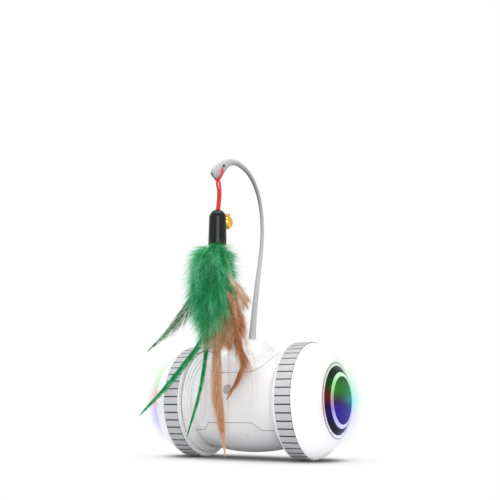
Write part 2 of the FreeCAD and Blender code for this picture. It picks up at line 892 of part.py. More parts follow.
def make_motor(side, turn):
    end_x = "motor_inner_x + motor_length"
    can = shared(
        f"motor_can_{side}",
        rod(f"motor_round_{side}", "motor_width / 2", "X", "motor_inner_x", end_x,
            y=MOTOR_Y, z="-motor_drop"),
        block(
            f"motor_flats_{side}",
            ("motor_inner_x", end_x),
            (f"{MOTOR_Y} - motor_width", f"{MOTOR_Y} + motor_width"),
            ("-motor_drop - motor_height / 2", "-motor_drop + motor_height / 2"),
        ),
    )
    hollow = rod(
        f"motor_hollow_{side}",
        "2 * motor_shaft_radius + 2 * running_clearance",
        "X",
        "motor_inner_x + motor_length / 2 - 2 * running_clearance",
        f"{end_x} - motor_end_plate",
        y=MOTOR_Y,
        z="-motor_drop",
    )
    bore = rod(
        f"motor_bore_{side}",
        "motor_shaft_radius + running_clearance",
        "X",
        "motor_inner_x + motor_length / 2",
        f"{end_x} + 1",
        y=MOTOR_Y,
        z="-motor_drop",
    )
    finish(cut(f"motor_{side}", can, hollow, bore), f"motor_{side}", turn)


def make_gear_case(side, turn):
    floor_top = "tray_top_z + case_floor"
    y_range = ("-case_front_y", "case_rear_y")
    plates = [
        block(f"case_inner_{side}", ("case_inner_x", "case_inner_x + case_plate"), y_range,
              ("tray_top_z", "case_top_z")),
        block(f"case_outer_{side}", ("case_outer_x", "case_outer_x + case_plate"), y_range,
              ("tray_top_z", "case_top_z")),
        block(f"case_floor_{side}", ("case_inner_x", "case_outer_x + case_plate"), y_range,
              ("tray_top_z", floor_top)),
        block(f"case_foot_{side}", ("case_screw_x - 3", "case_screw_x + 3"),
              ("case_rear_y", "case_screw_y + 2"), ("tray_top_z", floor_top)),
    ]
    cradle_low = f"{MOTOR_Y} - motor_width / 2 - case_cradle_wall - fit_clearance"
    cradle_high = f"{MOTOR_Y} + motor_width / 2 + case_cradle_wall + fit_clearance"
    cradle = block(f"motor_cradle_{side}", ("motor_inner_x + 1", "case_inner_x"), (cradle_low, cradle_high),
                   ("tray_top_z", "-motor_drop - motor_height / 4"))
    motor_space = shared(
        f"motor_space_{side}",
        rod(f"motor_space_round_{side}", "motor_width / 2 + fit_clearance", "X", "motor_inner_x",
            "case_inner_x", y=MOTOR_Y, z="-motor_drop"),
        block(f"motor_space_flats_{side}", ("motor_inner_x", "case_inner_x"),
              (f"{MOTOR_Y} - motor_width", f"{MOTOR_Y} + motor_width"),
              ("-motor_drop - motor_height / 2 - fit_clearance", "-motor_drop + motor_height / 2 + 1")),
    )
    through = ("case_inner_x - 1", "case_outer_x + case_plate + 1")
    tools = [
        motor_space,
        rod(f"case_axle_bore_{side}", "axle_radius + running_clearance", "X", "case_inner_x - 1",
            "case_inner_x + case_plate + 1"),
        rod(f"case_axle_hole_{side}", "axle_radius + 0.5", "X", "case_outer_x - 1",
            "case_outer_x + case_plate + 1"),
        rod(f"case_pin_bore_{side}", "gear_pin_radius + fit_clearance / 2", "X", *through, y=IDLER_Y),
        rod(f"case_shaft_hole_{side}", "motor_shaft_radius + 0.6", "X", "case_inner_x - 1",
            "case_inner_x + case_plate + 1", y=MOTOR_Y, z="-motor_drop"),
        rod(f"case_screw_hole_{side}", "screw_radius + fit_clearance", "Z", "tray_top_z - 1",
            f"{floor_top} + 1", x="case_screw_x", y="case_screw_y"),
    ]
    finish(cut(f"gear_case_{side}", joined(f"case_solid_{side}", *plates, cradle), *tools),
           f"gear_case_{side}", turn)


def make_idler_pins():
    pins = []
    for side, turn in SIDES.items():
        low, high = ("case_inner_x", "case_outer_x + case_plate")
        if turn:
            low, high = f"-({high})", f"-({low})"
        _, y = turned(turn, "0", IDLER_Y)
        pins.append(rod(f"idler_pin_{side}", "gear_pin_radius", "X", low, high, y=y))
    finish(grouped("idler_pin_group", pins), "idler_pins")


# Body shells

BODY_ARC = (
    "((body_half_length^2 + (body_radius - body_end_radius)^2) / (2 * (body_radius - body_end_radius)))"
)


def radius_at(depth, x):
    """The barrel's radius at x, a depth below its surface."""
    return f"(body_radius - {BODY_ARC} + sqrt(({BODY_ARC} - {depth})^2 - ({x})^2))"


def make_hull():
    inner_x = "body_half_length - end_wall"
    inner_end = radius_at("body_wall", inner_x)
    return revolved(
        "barrel_hull",
        [
            ("-body_half_length", "bush_radius"),
            ("-body_half_length", "body_end_radius"),
            ("body_half_length", "body_end_radius", BODY_ARC, 1),
            ("body_half_length", "bush_radius"),
            (inner_x, "bush_radius"),
            (inner_x, inner_end),
            (f"-({inner_x})", inner_end, f"{BODY_ARC} - body_wall", -1),
            (f"-({inner_x})", "bush_radius"),
        ],
    )


def make_lip_layer():
    """A thin barrel just inside the wall, from which the lids' lips are cut."""
    outer_depth = "(body_wall + lip_clearance)"
    inner_depth = "(body_wall + lip_clearance + lip_thickness)"
    end_x = "(body_half_length - end_wall - lip_clearance)"
    return revolved(
        "lip_layer",
        [
            (f"-{end_x}", radius_at(outer_depth, end_x)),
            (end_x, radius_at(outer_depth, end_x), f"{BODY_ARC} - {outer_depth}", 1),
            (end_x, radius_at(inner_depth, end_x)),
            (f"-{end_x}", radius_at(inner_depth, end_x), f"{BODY_ARC} - {inner_depth}", -1),
        ],
    )


ZONE_REACH = "(2 * body_radius)"


def lid_zone(name, grow):
    """The space above the lid's seam, grown outwards by a formula."""
    half = f"(lid_half_width + {grow})"
    low = f"(lid_low_z - {grow})"
    corner = f"(lid_corner_radius + {grow})"
    return padded(
        name,
        "XZ_Plane",
        [
            (half, ZONE_REACH),
            (f"-{half}", ZONE_REACH),
            (f"-{half}", f"{low} + {corner}"),
            (f"-{half} + {corner}", low, corner, -1),
            (f"{half} - {corner}", low),
            (half, f"{low} + {corner}", corner, -1),
        ],
        f"-{ZONE_REACH}",
        f"2 * {ZONE_REACH}",
    )


def belly_zone(name, grow):
    """The space below the belly cover's seam, grown outwards by a formula."""
    side = f"(belly_side_z + {grow})"
    mid = f"(belly_mid_z + {grow})"
    return padded(
        name,
        "XZ_Plane",
        [
            (f"-{ZONE_REACH}", f"-{ZONE_REACH}"),
            (ZONE_REACH, f"-{ZONE_REACH}"),
            (ZONE_REACH, side),
            (f"belly_slant_outer_x + {grow} / 2", side),
            (f"belly_slant_inner_x + {grow} / 2", mid),
            (f"-belly_slant_inner_x - {grow} / 2", mid),
            (f"-belly_slant_outer_x - {grow} / 2", side),
            (f"-{ZONE_REACH}", side),
        ],
        f"-{ZONE_REACH}",
        f"2 * {ZONE_REACH}",
    )


LEDGE_TOP = "(tray_top_z - tray_thickness)"


def ledge(name, low_x, high_x):
    return block(name, (low_x, high_x), ("-ledge_half_width", "ledge_half_width"),
                 ("belly_side_z + 2 * panel_gap", LEDGE_TOP))


def screw_places(x, y):
    """The two screw places that a half turn brings onto each other."""
    return [(x, y), (f"-({x})", f"-({y})")]


def belly_screw_places():
    signs = [("", ""), ("", "-"), ("-", ""), ("-", "-")]
    return [(f"{sx}belly_post_x", f"{sy}belly_post_y") for sx, sy in signs]


def make_body_shell(hull):
    inner_x = "body_half_length - end_wall"
    ledge_x = f"{inner_x} - ledge_depth"
    usb_low = "board_z + board_thickness - usb_clearance"
    tools = [
        lid_zone("lid_opening", "0"),
        belly_zone("belly_opening", "0"),
        rod("button_hole", "button_radius + button_hole_clearance", "Y", "-body_radius - 1",
            "-button_flange_y + 2", z="button_z"),
        block("usb_hole", ("-usb_half_width - usb_clearance", "usb_half_width + usb_clearance"),
              ("usb_mouth_y - usb_length / 2", "body_radius + 1"),
              (usb_low, f"{usb_low} + usb_height + 2 * usb_clearance")),
    ]
    for index, (x, y) in enumerate(screw_places("tray_screw_x", "-tray_screw_y")):
        tools.append(rod(f"tray_screw_hole_{index}", "screw_radius + fit_clearance", "Z", "belly_side_z",
                         "tray_top_z", x=x, y=y))
    for index, (x, y) in enumerate(belly_screw_places()):
        tools.append(rod(f"belly_screw_hole_{index}", "screw_radius + fit_clearance", "Z", "belly_side_z",
                         f"{LEDGE_TOP} + 1", x=x, y=y))
    solid = joined("shell_solid", hull, ledge("ledge_right", ledge_x, inner_x),
                   ledge("ledge_left", f"-({inner_x})", f"-({ledge_x})"))
    finish(cut("body_shell", solid, *tools), "body_shell")


SOCKET_BOTTOM = "(hump_height - plug_length)"


def make_lid(hull, lip_layer):
    hump = revolved(
        "tail_hump",
        [
            ("0", "hump_foot_z"),
            ("hump_foot_radius", "hump_foot_z"),
            ("hump_top_radius", "hump_height", "hump_arc_radius", -1),
            ("0", "hump_height"),
        ],
        "V_Axis",
    )
    under_hump = revolved(
        "under_hump",
        [
            ("0", "0"),
            ("body_radius", "0"),
            ("body_radius", "hump_foot_z - body_wall"),
            ("hump_foot_radius - body_wall", "hump_foot_z - body_wall"),
            ("plug_radius + socket_wall", "hump_height - 3 * body_wall", "hump_arc_radius + body_wall", -1),
            ("0", "hump_height - 3 * body_wall"),
        ],
        "V_Axis",
    )
    hump_skin = cut("hump_skin", hump, under_hump)
    boss = rod("socket_boss", "plug_radius + socket_wall", "Z", f"{SOCKET_BOTTOM} - socket_floor",
               "hump_height - body_wall")
    skin = shared("lid_skin", hull, lid_zone("lid_outline", "-panel_gap"))
    lip_band = cut(
        "lid_lip_band", lid_zone("lid_lip_outline", "lip_reach"), lid_zone("lid_lip_root", "-lip_root")
    )
    lip = shared("lid_lip", lip_layer, lip_band)
    lip_bridge = shared(
        "lid_bridge",
        revolved(
            "lid_bridge_layer",
            [
                ("-lid_half_width", radius_at("body_wall / 2", "lid_half_width")),
                ("lid_half_width", radius_at("body_wall / 2", "lid_half_width"),
                 f"{BODY_ARC} - body_wall / 2", 1),
                ("lid_half_width", radius_at("(body_wall + 2 * lip_clearance)", "lid_half_width")),
                ("-lid_half_width", radius_at("(body_wall + 2 * lip_clearance)", "lid_half_width"),
                 f"{BODY_ARC} - body_wall - 2 * lip_clearance", -1),
            ],
        ),
        lid_zone("lid_bridge_outline", "-4 * panel_gap"),
    )
    solid = joined("lid_solid", skin, lip, lip_bridge, hump_skin, boss)
    bore = rod("tail_socket", "plug_radius + running_clearance", "Z", SOCKET_BOTTOM, "hump_height + 1")
    finish(cut("tail_lid", solid, bore), "tail_lid")


def make_belly(hull, lip_layer):
    skin = shared("belly_skin", hull, belly_zone("belly_outline", "-panel_gap"))
    lip_outline = belly_zone("belly_lip_outline", "lip_reach")
    lip_band = cut("belly_lip_band", lip_outline, belly_zone("belly_lip_root", "-lip_root"))
    lip = shared("belly_lip", lip_layer, lip_band)
    ledge_start = "(body_half_length - end_wall - ledge_depth - panel_gap)"
    ledge_space = [
        ledge("ledge_space_right", ledge_start, "body_half_length"),
        ledge("ledge_space_left", "-body_half_length", f"-{ledge_start}"),
    ]
    bridge_end = "(body_half_length - end_wall / 2)"
    bridge = shared(
        "belly_bridge",
        revolved(
            "belly_bridge_layer",
            [
                (f"-{bridge_end}", radius_at("body_wall / 2", bridge_end)),
                (bridge_end, radius_at("body_wall / 2", bridge_end), f"{BODY_ARC} - body_wall / 2", 1),
                (bridge_end, radius_at("(body_wall + 2 * lip_clearance)", bridge_end)),
                (f"-{bridge_end}", radius_at("(body_wall + 2 * lip_clearance)", bridge_end),
                 f"{BODY_ARC} - body_wall - 2 * lip_clearance", -1),
            ],
        ),
        belly_zone("belly_bridge_outline", "-4 * panel_gap"),
    )
    barrel = revolved(
        "barrel_space",
        [
            ("-body_half_length", "0"),
            ("-body_half_length", "body_end_radius"),
            ("body_half_length", "body_end_radius", BODY_ARC, 1),
            ("body_half_length", "0"),
        ],
    )
    posts = []
    tools = list(ledge_space)
    for index, (x, y) in enumerate(belly_screw_places()):
        posts.append(rod(f"belly_post_{index}", "belly_post_radius", "Z", "-body_radius",
                         "belly_side_z + panel_gap", x=x, y=y))
        tools.append(rod(f"belly_post_hole_{index}", "screw_radius + fit_clearance", "Z", "-body_radius - 1",
                         "belly_side_z + 1", x=x, y=y))
        tools.append(rod(f"belly_post_recess_{index}", "screw_head_radius + 2 * fit_clearance", "Z",
                         "-body_radius - 1", "screw_head_recess_z", x=x, y=y))
    post_solid = shared("belly_posts", joined("belly_post_rods", *posts), barrel)
    solid = joined("belly_solid", skin, lip, bridge, post_solid)
    finish(cut("belly_cover", solid, *tools), "belly_cover")


def screw(name, x, y, seat, tip, head_down):
    """A pan-head screw along Z: its head sits at the seat and its shank reaches the tip."""
    low, high = (f"{seat} - screw_head_height", seat) if head_down else (seat, f"{seat} + screw_head_height")
    head = rod(name + "_head", "screw_head_radius", "Z", low, high, x=x, y=y)
    shank_low, shank_high = (seat, tip) if head_down else (tip, seat)
    shank = rod(name + "_shank", "screw_radius", "Z", shank_low, shank_high, x=x, y=y)
    return joined(name, head, shank)


def make_screws():
    belly = [
        screw(f"belly_screw_{index}", x, y, "screw_head_recess_z", f"{LEDGE_TOP} - 2 * panel_gap", True)
        for index, (x, y) in enumerate(belly_screw_places())
    ]
    finish(grouped("belly_screw_group", belly), "belly_screws")
    inner = [
        screw(f"tray_screw_{index}", x, y, "tray_top_z", "belly_side_z + 3 * panel_gap", False)
        for index, (x, y) in enumerate(screw_places("tray_screw_x", "-tray_screw_y"))
    ]
    inner += [
        screw(f"case_screw_{index}", x, y, "tray_top_z + case_floor", f"{LEDGE_TOP} - 1", False)
        for index, (x, y) in enumerate(screw_places("case_screw_x", "case_screw_y"))
    ]
    inner += [
        screw(f"board_screw_{index}", x, y, "board_z + board_thickness", "board_z - 5", False)
        for index, (x, y) in enumerate(pillar_places())
    ]
    finish(grouped("chassis_screw_group", inner), "chassis_screws")


# Chassis, battery, weights and boards


def pillar_places():
    signs = [("", ""), ("", "-"), ("-", ""), ("-", "-")]
    return [(f"{sx}pillar_x", f"{sy}pillar_y") for sx, sy in signs]


def make_tray():
    end = "(body_half_length - end_wall - tray_end_gap)"
    plate = block("tray_plate", (f"-{end}", end), ("-tray_half_width", "tray_half_width"),
                  (LEDGE_TOP, "tray_top_z"))
    pillars = []
    tools = []
    for index, (x, y) in enumerate(pillar_places()):
        pillars.append(rod(f"pillar_{index}", "pillar_radius", "Z", LEDGE_TOP, "board_z", x=x, y=y))
        tools.append(rod(f"pillar_hole_{index}", "screw_radius + fit_clearance", "Z", "board_z - 6",
                         "board_z + 1", x=x, y=y))
    places = screw_places("tray_screw_x", "-tray_screw_y") + screw_places("case_screw_x", "case_screw_y")
    for index, (x, y) in enumerate(places):
        tools.append(rod(f"tray_hole_{index}", "screw_radius + fit_clearance", "Z", f"{LEDGE_TOP} - 1",
                         "tray_top_z + 1", x=x, y=y))
    finish(cut("chassis_tray", joined("tray_solid", plate, *pillars), *tools), "chassis_tray")


BATTERY_TOP = "(tray_top_z - tray_thickness - 2 * fit_clearance)"


def make_battery():
    bottom = f"({BATTERY_TOP} - battery_height)"
    length = ("-battery_half_length", "battery_half_length")
    pack = padded(
        "battery_cell",
        "YZ_Plane",
        [
            ("battery_rear_y - battery_round", bottom),
            ("battery_rear_y", f"{bottom} + battery_round", "battery_round", -1),
            ("battery_rear_y", f"{BATTERY_TOP} - battery_round"),
            ("battery_rear_y - battery_round", BATTERY_TOP, "battery_round", -1),
            ("-battery_front_y + battery_round", BATTERY_TOP),
            ("-battery_front_y", f"{BATTERY_TOP} - battery_round", "battery_round", -1),
            ("-battery_front_y", f"{bottom} + battery_round"),
            ("-battery_front_y + battery_round", bottom, "battery_round", -1),
        ],
        length[0],
        "2 * battery_half_length",
    )
    finish(pack, "battery_pack")
    gap = "2 * fit_clearance"
    space = block("cradle_space", ("-battery_half_length - 2", "battery_half_length + 2"),
                  (f"-battery_front_y - {gap}", f"battery_rear_y + {gap}"),
                  (f"{bottom} - {gap}", "tray_top_z"))
    walls = block("cradle_walls", length,
                  (f"-battery_front_y - {gap} - cradle_wall", f"battery_rear_y + {gap} + cradle_wall"),
                  (f"{bottom} - {gap} - cradle_wall", LEDGE_TOP))
    finish(cut("battery_cradle", walls, space), "battery_cradle")


def make_weights():
    length = ("-weight_half_length", "weight_half_length")
    corner_radius = f"({radius_at('body_wall', 'weight_half_length')} - weight_gap)"
    rear = block("rear_weight_block", length, ("weight_front_y", "weight_rear_y"),
                 (f"-sqrt({corner_radius}^2 - weight_rear_y^2)", LEDGE_TOP))
    finish(grouped("rear_weight_node", [rear]), "rear_weight")
    keel_depth = "(body_wall + 2 * lip_clearance + 2 * fit_clearance)"
    end_x = "weight_half_length"
    barrel = revolved(
        "keel_round",
        [
            (f"-{end_x}", "0"),
            (f"-{end_x}", radius_at(keel_depth, end_x)),
            (end_x, radius_at(keel_depth, end_x), f"{BODY_ARC} - {keel_depth}", 1),
            (end_x, "0"),
        ],
    )
    keel_space = block("keel_space", length, ("-keel_half_width", "keel_half_width"),
                       ("-body_radius", "keel_top_z"))
    keel = shared("keel_solid", barrel, keel_space)
    finish(keel, "keel_weight")


BOARD_CHIPS = [
    # name, its reach along X and along Y, and its height
    ("controller_chip", (-5, 4), (-6, 3), 1.2),
    ("driver_chip_right", (7, 11), (-14, -8), 1.5),
    ("driver_chip_left", (-11, -7), (-14, -8), 1.5),
    ("charge_chip", (-3, 2), (14, 18), 1.5),
    ("battery_plug", (-12, -6), (6, 12), 4.5),
]
CAPACITOR = (9, 8, 2.5, 6)  # x, y, radius and height


def make_boards():
    board_top = "(board_z + board_thickness)"
    plate = block("board_plate", ("-board_half_width", "board_half_width"),
                  ("-board_front_y", "board_rear_y"), ("board_z", board_top))
    chips = [
        block(name, (str(x[0]), str(x[1])), (str(y[0]), str(y[1])), (board_top, f"{board_top} + {height}"))
        for name, x, y, height in BOARD_CHIPS
    ]
    x, y, radius, height = CAPACITOR
    chips.append(rod("capacitor", str(radius), "Z", board_top, f"{board_top} + {height}", x=str(x), y=str(y)))
    tools = [
        rod(f"board_hole_{index}", "screw_radius + fit_clearance", "Z", "board_z - 1", f"{board_top} + 1",
            x=x, y=y)
        for index, (x, y) in enumerate(pillar_places())
    ]
    finish(cut("main_board", joined("board_solid", plate, *chips), *tools), "main_board")

    usb_y = ("usb_mouth_y - usb_length", "usb_mouth_y")
    shell = block("usb_shell", ("-usb_half_width", "usb_half_width"), usb_y,
                  (board_top, f"{board_top} + usb_height"))
    mouth = block("usb_mouth", ("-usb_half_width + usb_wall", "usb_half_width - usb_wall"),
                  ("usb_mouth_y - usb_length + 1.5", "usb_mouth_y + 1"),
                  (f"{board_top} + usb_wall", f"{board_top} + usb_height - usb_wall"))
    tongue = block("usb_tongue", ("-usb_half_width + 1", "usb_half_width - 1"),
                   ("usb_mouth_y - usb_length + 1", "usb_mouth_y - 1"),
                   (f"{board_top} + usb_height / 2 - usb_wall", f"{board_top} + usb_height / 2 + usb_wall"))
    finish(joined("usb_socket", cut("usb_hollow", shell, mouth), tongue), "charge_socket")

    switch = block("switch_block", ("-switch_half_width", "switch_half_width"),
                   ("-switch_front_y", "-switch_front_y + switch_depth"),
                   (board_top, f"{board_top} + switch_height"))
    bore = rod("switch_bore", "plunger_radius + running_clearance", "Y", "-switch_front_y - 1",
               "-plunger_end_y + 0.8", z="button_z")
    finish(cut("button_switch", switch, bore), "button_switch")


def make_button():
    cap_end = "-button_flange_y"
    flange_end = f"{cap_end} + button_flange_thickness"
    cap = rod("button_cap", "button_radius", "Y", "-button_face_y", cap_end, z="button_z")
    flange = rod("button_flange", "button_flange_radius", "Y", cap_end, flange_end, z="button_z")
    stem = rod("button_stem", "button_stem_radius", "Y", flange_end, "-button_stem_end_y", z="button_z")
    finish(joined("button_solid", cap, flange, stem), "power_button")
    plunger = rod("plunger_rod", "plunger_radius", "Y", "-button_stem_end_y", "-plunger_end_y", z="button_z")
    finish(grouped("plunger_node", [plunger]), "switch_plunger")


# Tail: oval sections along a line in the YZ plane, each (y, z above the axle, width along X, thickness)

TAIL_SECTIONS = [
    (-0.2, 44.0, 5.8, 5.8),
    (0.8, 52.0, 4.9, 4.9),
    (2.3, 61.0, 4.3, 4.3),
    (5.5, 77.4, 3.9, 4.0),
    (9.3, 94.0, 3.4, 3.5),
    (13.2, 110.0, 3.0, 3.1),
    (15.6, 126.0, 2.8, 3.0),
    (15.0, 141.0, 2.8, 3.0),
    (10.9, 154.6, 2.9, 3.2),
    (3.2, 165.0, 3.0, 3.6),
    (-8.0, 171.6, 3.2, 4.0),
    (-20.0, 173.6, 3.3, 4.3),
    (-31.0, 172.2, 3.5, 4.8),
    (-40.0, 167.6, 3.9, 7.0),
    (-46.5, 162.6, 4.0, 9.6),
    (-52.0, 158.4, 3.8, 9.6),
    (-55.8, 155.9, 3.0, 7.0),
    (-57.6, 154.8, 1.8, 3.6),
]


def oval(centre, along, width, thickness):
    """An oval wire about a centre, square to a direction in the YZ plane."""
    across = Vector(1, 0, 0).cross(along).normalize()
    long_side, short_side = max(width, thickness), min(width, thickness)
    first = Vector(1, 0, 0) if width >= thickness else across
    return framed_ellipse(centre, long_side / 2, short_side / 2, first, along)


def framed_ellipse(centre, long_radius, short_radius, first, along):
    """An ellipse about a centre whose long radius lies along first, in the plane square to along."""
    wire = Part.Wire(Part.Ellipse(Vector(), long_radius, short_radius).toShape())
    second = along.cross(first)
    wire.Placement = Placement(
        FreeCAD.Matrix(
            first.x, second.x, along.x, centre.x,
            first.y, second.y, along.y, centre.y,
            first.z, second.z, along.z, centre.z,
            0, 0, 0, 1,
        )
    )
    return wire


def make_tail():
    base_y = TAIL_SECTIONS[0][0]
    base_z = TAIL_SECTIONS[0][1]
    lift = number("hump_height") - base_z
    centres = [Vector(0, y - base_y, z + lift) for y, z, _, _ in TAIL_SECTIONS]
    wires = []
    for index, (_, _, width, thickness) in enumerate(TAIL_SECTIONS):
        before = centres[max(index - 1, 0)]
        after = centres[min(index + 1, len(centres) - 1)]
        along = (after - before).normalize() if index else Vector(0, 0, 1)
        wires.append(oval(centres[index], along, width, thickness))
    whip = Part.makeLoft(wires, True, False)
    slot_centre = Vector(0, number("slot_y") - base_y, number("slot_z") + lift)
    slot = slot_tool(slot_centre)
    plug = Part.makeCylinder(
        number("plug_radius"),
        number("plug_length - plug_end_gap"),
        Vector(0, 0, number("hump_height - plug_length + plug_end_gap")),
    )
    tail = whip.cut(slot).fuse(plug).removeSplitter()
    finish(shaped("tail_solid", tail), "tail")


def slot_tool(centre):
    """A round-ended slot through the tail's tip along X."""
    length = number("slot_length")
    width = number("slot_width")
    depth = number("2 * plug_radius") + length
    half = (length - width) / 2
    tool = Part.makeBox(depth, 2 * half, width, Vector(-depth / 2, -half, -width / 2))
    for end in (-half, half):
        tool = tool.fuse(Part.makeCylinder(width / 2, depth, Vector(-depth / 2, end, 0), Vector(1, 0, 0)))
    tool = tool.removeSplitter()
    tool.Placement = Placement(centre, Rotation(Vector(1, 0, 0), number("slot_tilt")))
    return tool


# Red cord: a doubled strand below the tail's tip, and the hitch that ties it there


def arc_path(points, radius_share=0.45):
    """Straight runs joined by tangent arcs, with each arc as large as its two runs allow."""
    edges = []
    at = points[0]
    for before, corner, after in zip(points, points[1:], points[2:]):
        toward = (before - corner).normalize()
        onward = (after - corner).normalize()
        half_turn = (math.pi - toward.getAngle(onward)) / 2
        reach = radius_share * min((before - corner).Length, (after - corner).Length)
        first = corner + toward * reach
        last = corner + onward * reach
        radius = reach / math.tan(half_turn)
        centre = corner + (toward + onward).normalize() * (radius / math.cos(half_turn))
        middle = centre + (corner - centre).normalize() * radius
        edges.append(Part.LineSegment(at, first).toShape())
        edges.append(Part.Arc(first, middle, last).toShape())
        print(f"cord bend radius {radius:.2f} mm")
        at = last
    edges.append(Part.LineSegment(at, points[-1]).toShape())
    return Part.Wire(edges)


def tube_along(points, diameter, radius_share=0.45):
    path = arc_path(points, radius_share)
    direction = (points[1] - points[0]).normalize()
    section = Part.Wire(Part.Circle(points[0], direction, diameter / 2).toShape())
    solid = path.makePipeShell([section], True, False)
    expected = math.pi * diameter**2 / 4 * path.Length
    print(f"cord volume {solid.Volume:.2f} mm3, section times length {expected:.2f} mm3")
    return solid


def make_cord():
    y = number("cord_y")
    half = number("cord_spacing") / 2
    loop_half = number("cord_loop_half_width")
    loop_height = number("cord_loop_height")
    diameter = number("cord_diameter")
    top = number("cord_top_z") - diameter / 2
    bottom = number(f"{KNOT_CENTRE_Z} + knot_radius * 0.6")
    right = [
        Vector(loop_half, y, top),
        Vector(loop_half, y, top - loop_height),
        Vector(half, y, top - 2 * loop_height),
        Vector(half, y, bottom),
    ]
    loop = tube_along(mirrored(right) + right, diameter, 0.49)
    finish(shaped("cord_loop", loop), "hanging_cord")

    # the sphere's poles point forward and back, so that its seam stays clear of the two strands
    knot = Part.makeSphere(number("knot_radius"), Vector(0, y, number(KNOT_CENTRE_Z)), Vector(0, 1, 0))
    knot = knot.cut(loop)
    finish(shaped("end_knot", knot), "cord_end_knot")

    slot = Vector(0, number("slot_y"), number("slot_z"))
    under_tip = Vector(0, y - 0.6, number("hitch_z") - diameter / 2)
    half_width = number("hitch_half_width")
    start = slot + Vector(0, -0.8, -0.8)
    right = [
        slot + Vector(half_width + 0.1, -1.6, -1.4),
        under_tip + Vector(half_width + 0.2, 0.6, 3.3),
        under_tip + Vector(half_width - 1.1, 0.1, 0.2),
    ]
    end = start + Vector(-0.05, 0, 0)
    hitch = tube_along([start, *right, under_tip, *mirrored(right), end], diameter)
    finish(shaped("hitch_loop", hitch), "cord_hitch")


def mirrored(points):
    """The same points on the other side of the middle, in the opposite order."""
    return [Vector(-point.x, point.y, point.z) for point in reversed(points)]


# Cap, binding, bell and ring

CAP_ROOF_UNDERSIDE = "(cap_bottom_z + cap_length - cap_roof)"
KNOT_CENTRE_Z = f"({CAP_ROOF_UNDERSIDE} - sqrt(knot_radius^2 - cap_hole_radius^2) - knot_gap)"


def make_cap():
    cap = revolved(
        "lure_cap_turned",
        [
            ("cap_radius - cap_wall", "0"),
            ("cap_radius", "0"),
            ("cap_shoulder_radius", "cap_shoulder_height"),
            ("cap_hole_radius", "cap_length", "cap_dome_radius", -1),
            ("cap_hole_radius", "cap_length - cap_roof"),
            ("cap_shoulder_radius - cap_wall", "cap_shoulder_height"),
        ],
        "V_Axis",
    )
    ring_hole = shaped("ring_hole", bell_ring_shape(number("ring_wire_radius") + 0.3))
    finish(cut("lure_cap_solid", cap, ring_hole), "lure_cap", 0, "0", "cord_y", "cap_bottom_z")

    taper = "(cap_radius - cap_shoulder_radius) / cap_shoulder_height"
    inner = "(cap_radius - cap_wall - fit_clearance)"
    binding = revolved(
        "binding_turned",
        [
            ("0", "0"),
            (inner, "0"),
            (f"{inner} - binding_height * {taper}", "binding_height"),
            ("0", "binding_height + 1"),
        ],
        "V_Axis",
    )
    finish(binding, "feather_binding", 0, "0", "cord_y", "cap_bottom_z")


def bell_ring_shape(wire_radius):
    """The wire ring, in the cap's own frame: it leans, and passes through the cap's shoulder."""
    ring = Part.makeTorus(number("ring_radius"), wire_radius)
    leaning = Rotation(Vector(1, 0, 0), number("ring_tilt"))
    ring.Placement = Placement(Vector(number("ring_away"), 0, 0), leaning)
    around = Placement(
        Vector(0, 0, number("cap_length - ring_drop")),
        Rotation(Vector(0, 0, 1), number("ring_direction")),
    )
    ring.Placement = around.multiply(ring.Placement)
    return ring


def make_bell():
    """The ring, and the bell that hangs from its outer end and leans on the cap."""
    ring = shaped("ring_solid", bell_ring_shape(number("ring_wire_radius")))
    finish(ring, "bell_ring", 0, "0", "cord_y", "cap_bottom_z")

    radius = number("bell_radius")
    wall = number("bell_wall")
    slit = number("bell_slit")
    neck = number("bell_neck")
    pellet_radius = number("pellet_radius")
    shell = Part.makeSphere(radius).cut(Part.makeSphere(radius - wall))
    for turn in (0, 90):
        cutter = Part.makeBox(2 * radius, slit, radius, Vector(-radius, -slit / 2, -1.25 * radius))
        cutter.rotate(Vector(), Vector(0, 0, 1), turn)
        shell = shell.cut(cutter)
    eye_radius = number("bell_eye_radius")
    eye_z = radius + neck
    eye = Part.makeTorus(eye_radius, number("ring_wire_radius"), Vector(0, 0, eye_z), Vector(0, 1, 0))
    stalk = Part.makeCylinder(wall, neck, Vector(0, 0, radius - wall / 2))
    stalk = stalk.cut(Part.makeCylinder(eye_radius, 2 * radius, Vector(0, -radius, eye_z), Vector(0, 1, 0)))
    shell = shell.fuse([eye, stalk]).removeSplitter()
    pellet = Part.makeSphere(pellet_radius, Vector(0, 0, pellet_radius + wall + 0.05 - radius))

    hang = turned_vector(number("ring_away + ring_radius"), number("ring_direction"))
    hang.z = number("cap_length - ring_drop")
    centre = turned_vector(number("bell_away"), number("bell_direction"))
    centre.z = hang.z - math.sqrt(eye_z**2 - (hang.x - centre.x) ** 2 - (hang.y - centre.y) ** 2)
    tilt = math.radians(number("ring_tilt"))
    wire_way = turned_vector(math.cos(tilt), number("ring_direction") + 90)
    wire_way.z = math.sin(tilt)
    lean = Placement(centre, Rotation(Vector(), wire_way, hang - centre, "ZYX"))
    for label, shape in (("bell", shell), ("bell_pellet", pellet)):
        shape.Placement = lean
        finish(shaped(label + "_solid", shape), label, 0, "0", "cord_y", "cap_bottom_z")


def turned_vector(length, degrees):
    return Vector(length * math.cos(math.radians(degrees)), length * math.sin(math.radians(degrees)), 0)


# Fluff and feathers

FLUFF_SECTIONS = [
    # height above the axle, shift to the side, half width, half depth
    (106.0, -0.3, 4.6, 4.6),
    (102.5, -1.6, 12.2, 10.5),
    (98.0, -2.8, 16.4, 14.0),
    (85.0, -3.6, 16.8, 14.5),
    (71.0, -2.4, 17.4, 14.5),
    (57.0, 0.8, 17.2, 13.5),
    (43.5, 2.8, 15.6, 11.5),
    (33.0, 3.6, 12.0, 8.0),
    (25.0, 3.6, 6.0, 4.5),
]


